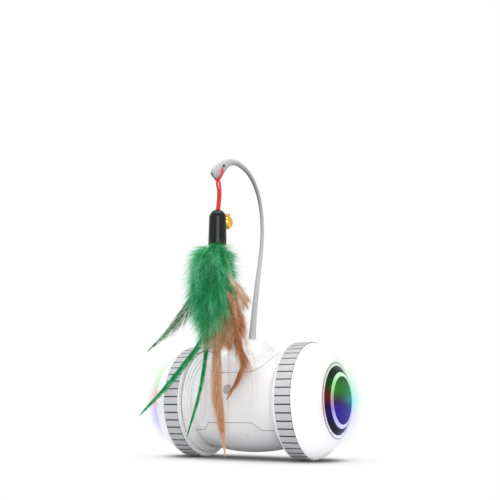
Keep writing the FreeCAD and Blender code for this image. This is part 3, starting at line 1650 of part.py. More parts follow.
def fluff_loft(shrink):
    """The fluff's outer form, or with a shrink the hollow inside it."""
    y = number("cord_y")
    side_turn = Rotation(Vector(0, 0, 1), 29.5)
    wires = []
    sections = FLUFF_SECTIONS if shrink == 0 else FLUFF_SECTIONS[1:-1]
    for height, shift, half_width, half_depth in sections:
        ellipse = Part.Ellipse(Vector(), half_width - shrink, half_depth - shrink)
        wire = Part.Wire(ellipse.toShape())
        wire.Placement = Placement(Vector(0, y, height) + side_turn.multVec(Vector(shift, 0, 0)), side_turn)
        wires.append(wire)
    return Part.makeLoft(wires, True, False)


FEATHERS = {
    # each is a line of points (x, y, z above the axle) from the root down, and its widest half width
    "green_feathers": [
        (
            [(-2.0, -52.0, 105.5), (-9.0, -53.0, 84.0), (-16.6, -54.5, 67.7), (-29.2, -57.0, 50.8),
             (-49.5, -60.0, 33.6)],
            2.6,
        ),
        (
            [(-1.5, -50.5, 105.5), (-3.5, -51.0, 70.0), (-9.3, -52.0, 43.4), (-28.2, -57.0, 16.1),
             (-53.8, -60.0, -9.1)],
            2.4,
        ),
        (
            [(0.5, -52.5, 105.5), (-3.0, -52.0, 70.0), (-6.4, -51.5, 36.7), (-11.1, -52.0, 6.7),
             (-19.5, -54.0, -23.3)],
            2.6,
        ),
    ],
    "brown_feathers": [
        (
            [(1.5, -49.0, 105.5), (3.0, -49.0, 70.0), (4.1, -49.0, 39.7), (4.4, -49.0, 9.8),
             (7.8, -49.0, -33.0)],
            3.6,
        ),
        (
            [(3.0, -47.5, 105.5), (10.0, -47.0, 82.0), (17.9, -47.0, 58.0), (21.6, -47.0, 35.7),
             (19.3, -47.0, 16.2), (7.7, -48.0, 1.4)],
            3.4,
        ),
        (
            [(-0.5, -47.0, 105.5), (0.0, -48.0, 60.0), (-2.4, -50.0, 30.0), (-8.4, -50.0, 3.0),
             (-12.7, -50.0, -19.4)],
            1.2,
        ),
        (
            [(3.5, -50.0, 105.5), (10.0, -50.0, 70.0), (19.0, -49.5, 39.0), (26.0, -49.5, 12.8),
             (29.0, -49.5, -12.6)],
            1.2,
        ),
    ],
}
BLADE = ((0, 0.3), (0.3, 0.35), (0.55, 0.8), (0.7, 1.0), (0.88, 0.7), (1.0, 0.2))


def feather_shape(points, half_width):
    """A thin blade with sharp edges along a smooth line. BLADE gives its width along the line, as shares."""
    line = Part.BSplineCurve()
    line.interpolate([Vector(*point) for point in points])
    thickness = number("feather_thickness")
    first, last = line.FirstParameter, line.LastParameter
    wires = []
    for share, part in BLADE:
        at = first + (last - first) * share
        centre = line.value(at)
        along = Vector(*line.tangent(at)[0]).normalize()
        across = along.cross(Vector(0, 1, 0)).normalize() * max(half_width * part, thickness)
        depth = across.cross(along).normalize() * thickness / 2
        corners = [centre - across, centre + depth, centre + across, centre - depth, centre - across]
        wires.append(Part.makePolygon(corners))
    return Part.makeLoft(wires, True, False)


def make_feathers():
    fluff = fluff_loft(0).cut(fluff_loft(number("fluff_wall")))
    finish(shaped("fluff_solid", fluff), "marabou_fluff")
    for label, feathers in FEATHERS.items():
        blades = [feather_shape(points, half_width) for points, half_width in feathers]
        finish(shaped(label + "_solid", Part.makeCompound(blades)), label)


# Assembly

bushes = []
for side, turn in SIDES.items():
    make_tyre(side, turn)
    make_rim(side, turn)
    make_dome(side, turn)
    make_hub(side, turn)
    bushes.append(make_axle(side, turn))
    make_collar(side, turn)
    make_gears(side, turn)
    make_motor(side, turn)
    make_gear_case(side, turn)

finish(grouped("axle_bush_group", bushes), "axle_bushes")
make_idler_pins()

barrel = make_hull()
lips = make_lip_layer()
make_body_shell(barrel)
make_lid(barrel, lips)
make_belly(barrel, lips)
make_tray()
make_battery()
make_weights()
make_boards()
make_button()
make_screws()
make_tail()
make_cord()
make_cap()
make_bell()
make_feathers()
doc.recompute()

failed = [thing.Name for thing in doc.Objects if {"Invalid", "Error"} & set(thing.State)]
if failed:
    raise RuntimeError(f"failed to build: {failed}")
os.makedirs("parts", exist_ok=True)
for thing in nodes:
    if thing.Shape.isNull() or not thing.Shape.isValid() or not thing.Shape.Solids:
        raise RuntimeError(f"{thing.Label} has no valid solid")
for thing in nodes:
    thing.Shape.exportStep(os.path.join("parts", thing.Label + ".step"))
    box = thing.Shape.BoundBox
    print(f"{thing.Label}: {len(thing.Shape.Solids)} solids, {thing.Shape.Volume:.1f} mm3, "
          f"x {box.XMin:.1f} to {box.XMax:.1f}, y {box.YMin:.1f} to {box.YMax:.1f}, "
          f"z {box.ZMin:.1f} to {box.ZMax:.1f}")
print(len(nodes), "sub-parts")
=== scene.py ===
import math
import random

import bmesh
import bpy
import numpy as np
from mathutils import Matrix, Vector


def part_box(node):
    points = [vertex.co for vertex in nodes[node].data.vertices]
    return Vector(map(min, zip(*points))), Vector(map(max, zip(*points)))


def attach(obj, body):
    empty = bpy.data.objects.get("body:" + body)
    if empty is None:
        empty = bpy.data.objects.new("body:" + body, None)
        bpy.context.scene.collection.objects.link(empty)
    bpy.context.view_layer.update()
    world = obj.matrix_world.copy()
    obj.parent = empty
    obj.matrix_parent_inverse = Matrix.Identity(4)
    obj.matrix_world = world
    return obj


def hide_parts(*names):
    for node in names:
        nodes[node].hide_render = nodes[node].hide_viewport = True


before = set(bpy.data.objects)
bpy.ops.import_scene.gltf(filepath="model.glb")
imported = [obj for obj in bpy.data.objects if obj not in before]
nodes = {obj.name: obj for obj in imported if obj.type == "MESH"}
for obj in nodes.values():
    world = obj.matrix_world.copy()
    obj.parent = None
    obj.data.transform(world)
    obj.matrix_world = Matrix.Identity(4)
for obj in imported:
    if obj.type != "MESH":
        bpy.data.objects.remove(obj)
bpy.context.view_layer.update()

# Automatic cat feather toy. The frame is in metres, and this script gives sizes in millimetres:
# the origin is on the floor under the axle, X runs along the axle and -Y is the front.

MM = 0.001


# Chassis tray, battery cradle, gear cases and switch

# The tray is the frame inside the barrel, screwed to its ledges. The gear cases are screwed to it, the
# cradle hangs below it and the switch stands above it. All are injection-moulded in charcoal ABS.

SIDES = {"right": 1, "left": -1}


def srgb(code):
    """The linear colour of an sRGB hex code."""
    parts = [int(code[start : start + 2], 16) / 255 for start in (1, 3, 5)]
    linear = [part / 12.92 if part <= 0.04045 else ((part + 0.055) / 1.055) ** 2.4 for part in parts]
    return (*linear, 1.0)


def connect(node, inputs):
    """Fills inputs, by name or in order, with a value, a hex colour, an output or a node's first output."""
    pairs = inputs.items() if isinstance(inputs, dict) else enumerate(inputs)
    for name, value in pairs:
        if isinstance(value, bpy.types.Node):
            value = value.outputs[0]
        if isinstance(value, bpy.types.NodeSocket):
            node.id_data.links.new(value, node.inputs[name])
        else:
            node.inputs[name].default_value = srgb(value) if isinstance(value, str) else value


def add(tree, kind, inputs=(), stops=(), **settings):
    """Adds a node with its inputs, its settings and, on a colour ramp, its stops of place and hex code."""
    node = tree.nodes.new("ShaderNode" + kind)
    for name, value in settings.items():
        setattr(node, name, value)
    connect(node, inputs)
    stops = list(stops)
    if stops:
        elements = node.color_ramp.elements
        while len(elements) < len(stops):
            elements.new(1.0)
        for element, (place, code) in zip(elements, stops):
            element.position = place
            element.color = srgb(code)
    return node


def start_material(name, inputs=()):
    """A new material, its nodes, its shader with these inputs, and a surface point's place in metres."""
    material = bpy.data.materials.new(name)
    material.use_nodes = True
    tree = material.node_tree
    shader = tree.nodes["Principled BSDF"]
    connect(shader, inputs)
    return material, tree, shader, add(tree, "TexCoord").outputs["Object"]


def paint(material, *names):
    """Gives solids that keep their own shape a material."""
    for name in names:
        nodes[name].data.materials.clear()
        nodes[name].data.materials.append(material)


def grained_plastic(name, codes, roughness):
    """Plastic from a spark-eroded mould: matt, with faint clouds of 3 mm and an even grain of 0.25 mm."""
    material, tree, shader, place = start_material(name)
    cloud, patch, grain = [
        add(tree, "TexNoise", {
            "Vector": place, "Scale": 1 / (size * MM), "Detail": detail, "Roughness": 0.55,
        })
        for size, detail in ((3, 3), (0.6, 3), (0.25, 2))
    ]
    connect(shader, {
        "Base Color": add(tree, "ValToRGB", [cloud], zip((0.3, 0.7), codes)),
        "Roughness": add(tree, "MapRange", [patch, 0.3, 0.7, roughness - 0.08, roughness + 0.08]),
        "Normal": add(tree, "Bump", {"Height": grain, "Strength": 0.2, "Distance": 0.02 * MM}),
    })
    return material


# Charcoal ABS: dark, matt and without highlights.
CHARCOAL_ABS = grained_plastic("charcoal inner plastic", ("#2b2d30", "#393b3e"), 0.55)
paint(CHARCOAL_ABS, "chassis_tray", "battery_cradle", "button_switch", "switch_plunger")
for side in SIDES:
    paint(CHARCOAL_ABS, f"gear_case_{side}")


# Ballast

# Two weights below the tray, at the back and in the keel, so that the wheels turn and not the body. They
# are sand-cast iron, left as cast.


def bare_metal(name, codes, roughness, grain_mm):
    """Unpainted metal: the grain of its casting, drawing or brushing breaks up its shine."""
    material, tree, shader, place = start_material(name, {"Metallic": 1.0})
    cloud, grain = [
        add(tree, "TexNoise", {
            "Vector": place, "Scale": 1 / (size * MM), "Detail": detail, "Roughness": fade,
        })
        for size, detail, fade in ((4, 3, 0.55), (grain_mm, 4, 0.65))
    ]
    connect(shader, {
        "Base Color": add(tree, "ValToRGB", [cloud], zip((0.3, 0.7), codes)),
        "Roughness": add(tree, "MapRange", [grain, 0.3, 0.7, roughness - 0.06, roughness + 0.08]),
        "Normal": add(tree, "Bump", {"Height": grain, "Strength": 0.06, "Distance": 0.01 * MM}),
    })
    return material


# Cast iron: dark and dull, with the coarse grain of the sand, nearly a millimetre.
CAST_IRON = bare_metal("cast iron ballast", ("#4a4a4c", "#5c5c5e"), 0.6, 0.8)
paint(CAST_IRON, "rear_weight", "keel_weight")


# Battery

# The rechargeable lithium cell lies loose in its cradle. Its pouch is laminated aluminium foil, folded
# and sealed at the edges.

# Rolled foil: pale and bluish, with a soft, slightly uneven shine.
CELL_FOIL = bare_metal("battery foil", ("#a9b3bd", "#bcc5ce"), 0.3, 0.3)
paint(CELL_FOIL, "battery_pack")


# Motors, axles, pins, screws and the shell of the charging socket

# Each wheel has its own motor, which lies in the gear case. The motors' cans and the socket's shell are
# drawn sheet steel, and the axles, pins and screws are turned.

# Brushed steel: an even grey with a soft shine and scratches a third of a millimetre apart.
STEEL = bare_metal("brushed steel", ("#9b9c9e", "#b4b5b7"), 0.32, 0.3)
paint(STEEL, "charge_socket", "belly_screws", "chassis_screws", "idler_pins")
for side in SIDES:
    paint(STEEL, f"axle_{side}", f"wheel_screw_{side}", f"motor_{side}", f"motor_rotor_{side}")


# Axle bushes

# The flanged rings in which the axles turn, pressed into the end collars. They are bronze powder, pressed
# and sintered, and hold their own oil.

# Sintered bronze: a dull brown metal without sharp highlights.
SINTERED_BRONZE = bare_metal("sintered bronze", ("#9a6a3a", "#b5824d"), 0.45, 0.3)
paint(SINTERED_BRONZE, "axle_bushes")


# Gears

# The drive gear on each axle, and the idler with two rings of teeth between it and the motor. They are
# moulded in natural acetal, which is slippery and needs no grease.

# Natural acetal: ivory, with a waxy shine where the plastics round it are matt.
ACETAL = grained_plastic("ivory acetal gears", ("#d8d4c6", "#e4e0d4"), 0.42)
for side in SIDES:
    paint(ACETAL, f"drive_gear_{side}", f"idler_gear_{side}")


# Circuit boards

# The main board stands on the tray's four pillars, and a round board with coloured lamps sits on each end
# collar. They are glass-fibre laminate with etched copper tracks under a green mask.

# Green mask over copper: dark green, with paler tracks 3 mm apart that stand up a little.
BOARD, tree, shader, place = start_material("green circuit board", {"Roughness": 0.35})
cells = add(tree, "TexVoronoi", {"Vector": place, "Scale": 1 / (3 * MM)}, feature="DISTANCE_TO_EDGE")
connect(shader, {
    "Base Color": add(tree, "ValToRGB", [cells], [(0.05, "#2f7f4c"), (0.12, "#0f4a28")]),
    "Normal": add(tree, "Bump", {"Height": cells, "Strength": 0.1, "Distance": 0.05 * MM}),
})
paint(BOARD, "main_board", *[f"light_board_{side}" for side in SIDES])


# Body shell, tail lid and belly cover

# The barrel between the wheels, the saddle-shaped lid on top that holds the tail, and the cover screwed on
# below. They are injection-moulded in white ABS from a polished mould, and meet in narrow open seams.

AXLE_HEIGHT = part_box("tyre_right")[1].z / MM / 2
BARREL_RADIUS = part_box("body_shell")[1].y / MM
BARREL_HALF_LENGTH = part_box("body_shell")[1].x / MM
# The barrel's side is an arc that drops this far from the middle to the ends.
BARREL_SAG = 4.1
BARREL_ARC = (BARREL_HALF_LENGTH**2 + BARREL_SAG**2) / (2 * BARREL_SAG)
# The depths between which a seam's flank turns dark with painted shade.
SEAM_TOP = 0.15
SEAM_BOTTOM = 0.6


def from_axle_mm(tree, place, scale=(1, 1, 1)):
    """A point's place in millimetres from the middle of the axle, with each coordinate times its scale."""
    inputs = {"Vector": place, "Scale": Vector(scale) / MM, "Location": (0, 0, -AXLE_HEIGHT * scale[2])}
    return add(tree, "Mapping", inputs)


def axle_radius_mm(tree, place):
    """The distance of a surface point from the axle."""
    across = from_axle_mm(tree, place, (0, 1, 1))
    return add(tree, "VectorMath", [across], operation="LENGTH").outputs["Value"]


def seam_shade(tree, place):
    """0 on the barrel's outer skin, and 1 in the unlit depth of its seams."""
    along = add(tree, "SeparateXYZ", [from_axle_mm(tree, place)])
    square = add(tree, "Math", [along, along], operation="MULTIPLY")
    across = add(tree, "Math", [BARREL_ARC**2, square], operation="SUBTRACT")
    skin = add(tree, "Math", [across], operation="SQRT")
    depth = add(tree, "Math", [skin, axle_radius_mm(tree, place)], operation="SUBTRACT")
    arc_centre = BARREL_ARC - BARREL_RADIUS
    return add(tree, "MapRange", [depth, arc_centre + SEAM_TOP, arc_centre + SEAM_BOTTOM])


def gloss_abs(name, codes, roughness, seams_painted_dark=False):
    """ABS from a polished mould: an even colour, with faint clouds of 8 mm that show only in its gloss."""
    material, tree, shader, place = start_material(name, {"Coat Weight": 0.2, "Coat Roughness": 0.15})
    cloud, haze = [
        add(tree, "TexNoise", {
            "Vector": place, "Scale": 1 / (size * MM), "Detail": detail, "Roughness": 0.55,
        })
        for size, detail in ((30, 1), (8, 2))
    ]
    tint = add(tree, "ValToRGB", [cloud], zip((0.3, 0.7), codes))
    if seams_painted_dark:
        # Painted shade: the depth of the seams turns dark grey.
        tint = add(tree, "MixRGB", [seam_shade(tree, place), tint, "#3f4042"])
    gloss = add(tree, "MapRange", [haze, 0.3, 0.7, roughness - 0.01, roughness + 0.01])
    connect(shader, {"Base Color": tint, "Roughness": gloss})
    return material


# Gloss ABS: white, with the light from all sides in its shine, and dark grey painted shade in its seams.
# Its white is a little darker than the collars', as painted shade on the barrel.
BODY_ABS = gloss_abs("white gloss ABS body, seams painted dark as shade", ("#e2e2e3", "#e4e4e5"), 0.28, True)
paint(BODY_ABS, "body_shell", "tail_lid", "belly_cover")


# Power button

# The small round button on the front, moulded in translucent grey plastic so that its lamp can shine
# through. It slides in a hole of the barrel against the switch.

# Translucent grey plastic, polished: an even cool grey that stands out from the white round it.
BUTTON_PLASTIC = gloss_abs("translucent grey button", ("#a2a3a5", "#adaeb0"), 0.30)
paint(BUTTON_PLASTIC, "power_button")


# End collars

# The stepped rings on the barrel's ends, which stand still and carry the axle bushes and the lamps. They
# are white ABS, moulded as the barrel is.

# Gloss ABS: white, with a bright line along each step.
COLLAR_ABS = gloss_abs("white gloss ABS shell", ("#e7e7e8", "#e9e9ea"), 0.28)
for side in SIDES:
    paint(COLLAR_ABS, f"end_collar_{side}")


# Wheel rims

# The inner half of each wheel: the step beside the tread, and the web that is screwed to the axle. It is
# white ABS from a finely blasted mould, so its shine is softer than the barrel's.

# Satin ABS: white, with a broad soft shine.
RIM_ABS = gloss_abs("white satin rim plastic", ("#e6e6e7", "#e9e9ea"), 0.38)
for side in SIDES:
    paint(RIM_ABS, f"wheel_rim_{side}")


# Tyres

# A band of light grey silicone rubber round each wheel, moulded with cross grooves for grip and stretched
# over the rim.

TYRE_RADIUS = AXLE_HEIGHT
GROOVE_COUNT = 46
GROOVE_DEPTH = 0.75
BLOCK_TOP = 0.1
LIP_START = 0.25
LIP_END = 0.6
# From the groove to the middle of a block: painted shade at the bottom of the wheel, painted light at its
# top.
TREAD_PAINTED_SHADE_BELOW = ("#08090a", "#55565a", "#c0c1c3")
TREAD_PAINTED_LIGHT_ABOVE = ("#5c5d5f", "#a4a5a7", "#bebfc1")
TREAD_STOPS = (0.0, 0.55, 1.0)
DUST_STRENGTH = 0.175

# Silicone from a blasted mould: matt, with pores of 0.22 mm and a speckle of dust. Painted shade darkens
# the grooves and their lips and the lower half of the wheel, and the upper half is painted lighter.
TREAD, tree, shader, place = start_material("silicone tread in grey with painted shade", {"Specular IOR Level": 0.35})
rise = add(tree, "MapRange", [
    axle_radius_mm(tree, place), TYRE_RADIUS - GROOVE_DEPTH, TYRE_RADIUS - BLOCK_TOP,
])
point = add(tree, "SeparateXYZ", [from_axle_mm(tree, place)])
angle = add(tree, "Math", [point.outputs["Y"], point.outputs["Z"]], operation="ARCTAN2")
along = add(tree, "Math", [angle, TYRE_RADIUS], operation="MULTIPLY")
# It rises from 0 in the middle of a groove to half a pitch in the middle of a block, and falls again.
from_groove = add(tree, "Math", [along, math.pi * TYRE_RADIUS / GROOVE_COUNT], operation="PINGPONG")
lip = add(tree, "MapRange", [from_groove, LIP_START, LIP_END])
# Painted shade: dark in the grooves and on their lips.
painted_groove_shade = add(tree, "Math", [rise, lip], operation="MINIMUM")
dust, rubbed, pores = [
    add(tree, "TexNoise", {"Vector": place, "Scale": 1 / (size * MM), "Detail": detail, "Roughness": fade})
    for size, detail, fade in ((0.5, 4, 0.7), (1.2, 3, 0.55), (0.22, 3, 0.6))
]
speckle = add(tree, "MapRange", [dust, 0.0, 1.0, -DUST_STRENGTH, DUST_STRENGTH])
shade = add(tree, "Math", [painted_groove_shade, speckle], operation="ADD")
# Painted shade below and painted light above, blended by height.
halves = [add(tree, "ValToRGB", [shade], zip(TREAD_STOPS, codes)) for codes in (TREAD_PAINTED_SHADE_BELOW, TREAD_PAINTED_LIGHT_ABOVE)]
height = add(tree, "MapRange", [point.outputs["Z"], -0.6 * AXLE_HEIGHT, 0.6 * AXLE_HEIGHT])
connect(shader, {
    "Base Color": add(tree, "MixRGB", [height, *halves]),
    "Roughness": add(tree, "MapRange", [rubbed, 0.3, 0.7, 0.55, 0.72]),
    "Normal": add(tree, "Bump", {"Height": pores, "Strength": 0.35, "Distance": 0.03 * MM}),
})
for side in SIDES:
    paint(TREAD, f"tyre_{side}")


# Wheel domes

# The outer half of each wheel: a thin dome with a raised rim round the hub and a seat for it, moulded in
# gloss white ABS. The screw in its middle holds it to the wheel's web and the axle.

DOME_START_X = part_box("wheel_dome_right")[0].x / MM
DOME_EDGE_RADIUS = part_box("wheel_dome_right")[1].y / MM
HUB_RIM_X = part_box("wheel_dome_right")[1].x / MM
HUB_RADIUS = 23.05
HUB_RIM_WIDTH = 2.1
HUB_RIM_PROUD = 0.5
HUB_RIM_FILLET = 0.65
HUB_SEAT_X = 64.6
HUB_FLOOR = 1.8
SCREW_HOLE_RADIUS = 1.2
DOME_ARC = 25.0
DOME_WALL = 2.0
DOME_EDGE_WALL = 3
DOME_SOFTNESS = 0.35
# The line of painted shade where the dome meets the raised rim, as distances from the rim's outside.
RIM_SHADE_LINE = (-0.4, 0.8)
# A painted glow lightens the wall up to this height above the floor.
PAINTED_GLOW_FROM_Z = 2
PAINTED_GLOW_UP_TO_Z = 34
TURN_STEPS = 160
ARC_STEPS = 24
SOFT_STEPS = 4
LEAST_TURN = math.radians(20)
WELD_DISTANCE = 1e-7
SMOOTH_ANGLE = math.radians(40)


def mm(x, y, z):
    """A point given in millimetres from the middle of the axle, in the frame's metres."""
    return Vector((x * MM, y * MM, (z + AXLE_HEIGHT) * MM))


def finish_mesh(name, verts, faces, material):
    """Welds the mesh's double points, turns its faces outward and shades it smooth up to its edges."""
    mesh = bpy.data.meshes.new(name)
    mesh.from_pydata(verts, [], faces)
    mesh.validate()
    work = bmesh.new()
    work.from_mesh(mesh)
    bmesh.ops.remove_doubles(work, verts=work.verts, dist=WELD_DISTANCE)
    bmesh.ops.recalc_face_normals(work, faces=work.faces)
    work.to_mesh(mesh)
    work.free()
    mesh.shade_smooth()
    mesh.set_sharp_from_angle(angle=SMOOTH_ANGLE)
    mesh.materials.append(material)
    piece = bpy.data.objects.new(name, mesh)
    bpy.context.scene.collection.objects.link(piece)
    return piece


def arc_points(start, end, radius, bulge):
    """The short arc that bulges to the left (1) or right (-1) of the way to its end, without its start."""
    start, end = Vector(start), Vector(end)
    half = (end - start) / 2
    left = Vector((-half.y, half.x)).normalized()
    centre = start + half - left * bulge * math.sqrt(radius**2 - half.length_squared)
    first = math.atan2(start.y - centre.y, start.x - centre.x)
    last = math.atan2(end.y - centre.y, end.x - centre.x)
    sweep = (last - first + math.pi) % (2 * math.pi) - math.pi
    angles = [first + sweep * step / ARC_STEPS for step in range(1, ARC_STEPS + 1)]
    return [(centre.x + radius * math.cos(a), centre.y + radius * math.sin(a)) for a in angles]


def softened(points, radius):
    """A closed outline with each corner rounded by a small curve, where its sides leave room for it."""
    result = []
    for index, point in enumerate(points):
        corner = Vector(point)
        before = Vector(points[index - 1]) - corner
        after = Vector(points[(index + 1) % len(points)]) - corner
        turn = math.pi - before.angle(after) if before.length and after.length else 0
        if turn < LEAST_TURN:
            result.append(tuple(corner))
            continue
        reach = min(radius, before.length * 0.45, after.length * 0.45)
        start = corner + before.normalized() * reach
        end = corner + after.normalized() * reach
        for step in range(SOFT_STEPS + 1):
            t = step / SOFT_STEPS
            result.append(tuple(start * (1 - t) ** 2 + corner * 2 * t * (1 - t) + end * t**2))
    return result


def turned(name, outline, side, material):
    """A closed outline of (x, radius) points turned about the axle, riding on its wheel."""
    verts = []
    for step in range(TURN_STEPS):
        angle = 2 * math.pi * step / TURN_STEPS
        for x, radius in outline:
            verts.append(mm(SIDES[side] * x, radius * math.cos(angle), radius * math.sin(angle)))
    count = len(outline)
    faces = []
    for step in range(TURN_STEPS):
        here, there = step * count, (step + 1) % TURN_STEPS * count
        for index in range(count):
            following = (index + 1) % count
            faces.append((here + index, here + following, there + following, there + index))
    piece = finish_mesh(f"{name}_{side}", verts, faces, material)
    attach(piece, f"{side}_wheel")
    return piece


dome_start = (DOME_START_X, DOME_EDGE_RADIUS)
face_x = HUB_RIM_X - HUB_RIM_PROUD
rim_outside = HUB_RADIUS + HUB_RIM_WIDTH
floor_x = HUB_SEAT_X - HUB_FLOOR
inner_start = (floor_x, HUB_RADIUS + DOME_WALL / 2)
dome_outline = [
    dome_start,
    *arc_points(dome_start, (face_x, rim_outside + HUB_RIM_FILLET), DOME_ARC, 1),
    (face_x, rim_outside),
    (HUB_RIM_X, rim_outside),
    (HUB_RIM_X, HUB_RADIUS),
    (HUB_SEAT_X, HUB_RADIUS),
    (HUB_SEAT_X, SCREW_HOLE_RADIUS),
    (floor_x, SCREW_HOLE_RADIUS),
    inner_start,
    *arc_points(inner_start, (DOME_START_X, DOME_EDGE_RADIUS - DOME_EDGE_WALL), DOME_ARC - DOME_WALL, -1),
]

# Gloss ABS: white, with a grey line of painted shade where the dome meets the rim round the hub, and a
# faint painted glow that lightens its lower part.
DOME_ABS, tree, shader, place = start_material("gloss ABS dome in white with painted shade and glow", {
    "Roughness": 0.28, "Coat Weight": 0.2, "Emission Color": "#ffffff",
})
line = add(tree, "MapRange", [axle_radius_mm(tree, place), *[rim_outside + edge for edge in RIM_SHADE_LINE]])
rim_shade_stops = [(0.0, "#f0f0f1"), (0.3, "#8f9092"), (0.7, "#8f9092"), (1.0, "#f1f1f2")]
point = add(tree, "SeparateXYZ", [place])
connect(shader, {
    "Base Color": add(tree, "ValToRGB", [line], rim_shade_stops),
    # Painted glow, strongest at the bottom of the dome.
    "Emission Strength": add(tree, "MapRange", [
        point.outputs["Z"], PAINTED_GLOW_FROM_Z * MM, PAINTED_GLOW_UP_TO_Z * MM, 0.30, 0.0,
    ]),
})
for side in SIDES:
    dome = turned("dome_shell", softened(dome_outline, DOME_SOFTNESS), side, DOME_ABS)
    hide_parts(f"wheel_dome_{side}")


# Smoked hub rings

# The dark outer ring of each hub, moulded in smoked acrylic and glued into the dome's seat. The lamps'
# colours show through it dimly: blue below, red in front and green above.

RING_OUTER = 18.7
HUB_EDGE_X = 66.4
DISC_RISE = 2.9
DISC_ARC = 9.0
DISC_GAP = 0.15
DISC_SOFTNESS = 0.25
RING_GAP = 0.1
HUB_BACK_X = HUB_SEAT_X + 0.1
DISC_FRONT = [
    (0.0, "#1d1d22"), (0.14, "#20202c"), (0.30, "#1a1660"), (0.42, "#241352"), (0.52, "#5e1c14"),
    (0.60, "#56241a"), (0.72, "#124a16"), (0.86, "#1c2820"), (1.0, "#1e1f22"),
]
DISC_BACK = [
    (0.0, "#1d1d22"), (0.30, "#1a1a66"), (0.5, "#0d5f62"), (0.72, "#124a16"), (1.0, "#1e1f22"),
]


def lamp_colours(tree, place, low, high, half_blend, front, back):
    """Colours by height from low to high, that change from the front's to the back's over the blend."""
    point = add(tree, "SeparateXYZ", [place])
    rise = add(tree, "MapRange", [point.outputs["Z"], low, high])
    turn = add(tree, "MapRange", [point.outputs["Y"], -half_blend, half_blend])
    halves = [add(tree, "ValToRGB", [rise], stops) for stops in (front, back)]
    return add(tree, "MixRGB", [turn, *halves])


def lit_acrylic(name, code, reach_mm, front, back, strength):
    """Acrylic with lamps behind it: nearly black where it is unlit, and brighter in soft patches of 5 mm."""
    material, tree, shader, place = start_material(name, {
        "Base Color": code, "Roughness": 0.3, "Coat Weight": 0.05, "Coat Roughness": 0.05,
        "Specular IOR Level": 0.06,
    })
    low, high = (AXLE_HEIGHT - reach_mm) * MM, (AXLE_HEIGHT + reach_mm) * MM
    patch, ripple = [
        add(tree, "TexNoise", {"Vector": place, "Scale": 1 / (size * MM), "Detail": 2, "Roughness": 0.55})
        for size in (5, 0.9)
    ]
    connect(shader, {
        "Emission Color": lamp_colours(tree, place, low, high, reach_mm / 2 * MM, front, back),
        "Emission Strength": add(tree, "MapRange", [patch, 0.25, 0.75, 0.9 * strength, 1.05 * strength]),
        "Normal": add(tree, "Bump", {"Height": ripple, "Strength": 0.02, "Distance": 0.02 * MM}),
    })
    return material


disc_foot = (HUB_EDGE_X, HUB_RADIUS - DISC_GAP)
disc_top = (HUB_EDGE_X + DISC_RISE, RING_OUTER + RING_GAP)
disc_outline = [(HUB_BACK_X, disc_top[1]), (HUB_BACK_X, disc_foot[1]), disc_foot]
disc_outline += arc_points(disc_foot, disc_top, DISC_ARC, 1)
for side in SIDES:
    smoked = lit_acrylic(f"smoked lens ring {side}", "#0b0b10", HUB_RADIUS, DISC_FRONT, DISC_BACK, 0.9)
    disc = turned("smoked_disc", softened(disc_outline, DISC_SOFTNESS), side, smoked)
    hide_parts(f"hub_disc_{side}")


# Light rings

# The bright thin ring of each hub: a light guide of frosted clear acrylic, pressed in between the
# smoked ring and the lens. It spreads the lamps' light to a pale, even band.

RING_INNER = 16.1
RING_OUTER_RISE = 0.25
RING_INNER_RISE = 1.15
RING_SOFTNESS = 0.5
RING_FRONT = [
    (0.0, "#ecebff"), (0.18, "#cfc9ff"), (0.36, "#9d93f0"), (0.5, "#c9a6ba"), (0.62, "#a5d69a"),
    (0.78, "#9bf39a"), (1.0, "#eafcee"),
]
RING_BACK = [
    (0.0, "#ecebff"), (0.3, "#b6c6ff"), (0.5, "#9cf5f5"), (0.75, "#a6f5c0"), (1.0, "#eafcee"),
]

ring_outline = [
    (HUB_BACK_X, RING_INNER),
    (HUB_BACK_X, RING_OUTER),
    (disc_top[0] + RING_OUTER_RISE, RING_OUTER),
    (disc_top[0] + RING_INNER_RISE, RING_INNER),
]
for side in SIDES:
    frosted = lit_acrylic(f"frosted light guide {side}", "#3c4042", RING_OUTER, RING_FRONT, RING_BACK, 0.95)
    ring = turned("light_guide", softened(ring_outline, RING_SOFTNESS), side, frosted)
    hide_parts(f"light_ring_{side}")


# Hub lenses

# The domed middle of each hub, moulded in smoked acrylic and glued inside the light ring. Lit from
# behind it shows blue below and green above.

LENS_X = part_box("hub_lens_right")[1].x / MM
LENS_INSIDE = 14.5
LENS_INSIDE_X = 66.5
LENS_MIDDLE = 0.01
LENS_EDGE_RISE = 0.9
LENS_FRONT = [
    (0.0, "#1a1670"), (0.14, "#241ba0"), (0.34, "#261ea8"), (0.46, "#2b2f6c"), (0.56, "#2a5a3c"),
    (0.70, "#1b8f1c"), (0.84, "#1d7a22"), (1.0, "#1c3a22"),
]
LENS_BACK = [
    (0.0, "#1a1670"), (0.2, "#221c98"), (0.38, "#1d3c96"), (0.52, "#16949a"), (0.66, "#1c8a60"),
    (0.84, "#236b34"), (1.0, "#20302a"),
]

lens_edge = (disc_top[0] + LENS_EDGE_RISE, RING_INNER - RING_GAP)
lens_rise = LENS_X - lens_edge[0]
lens_arc = (lens_edge[1] ** 2 + lens_rise**2) / (2 * lens_rise)
lens_outline = [
    (LENS_INSIDE_X, LENS_MIDDLE),
    (LENS_INSIDE_X, LENS_INSIDE),
    (HUB_BACK_X, LENS_INSIDE),
    (HUB_BACK_X, lens_edge[1]),
    lens_edge,
    *arc_points(lens_edge, (LENS_X, LENS_MIDDLE), lens_arc, 1),
]
for side in SIDES:
    tinted = lit_acrylic(f"smoked hub lens {side}", "#08090e", RING_INNER, LENS_FRONT, LENS_BACK, 0.95)
    lens = turned("lens", lens_outline, side, tinted)
    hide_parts(f"hub_lens_{side}")


# Silicone tail

# The bendy whip that carries the lure, with a slot through its leaf-shaped tip for the cord. It is moulded
# in light grey silicone, in one piece with the plug that is pushed into the lid.

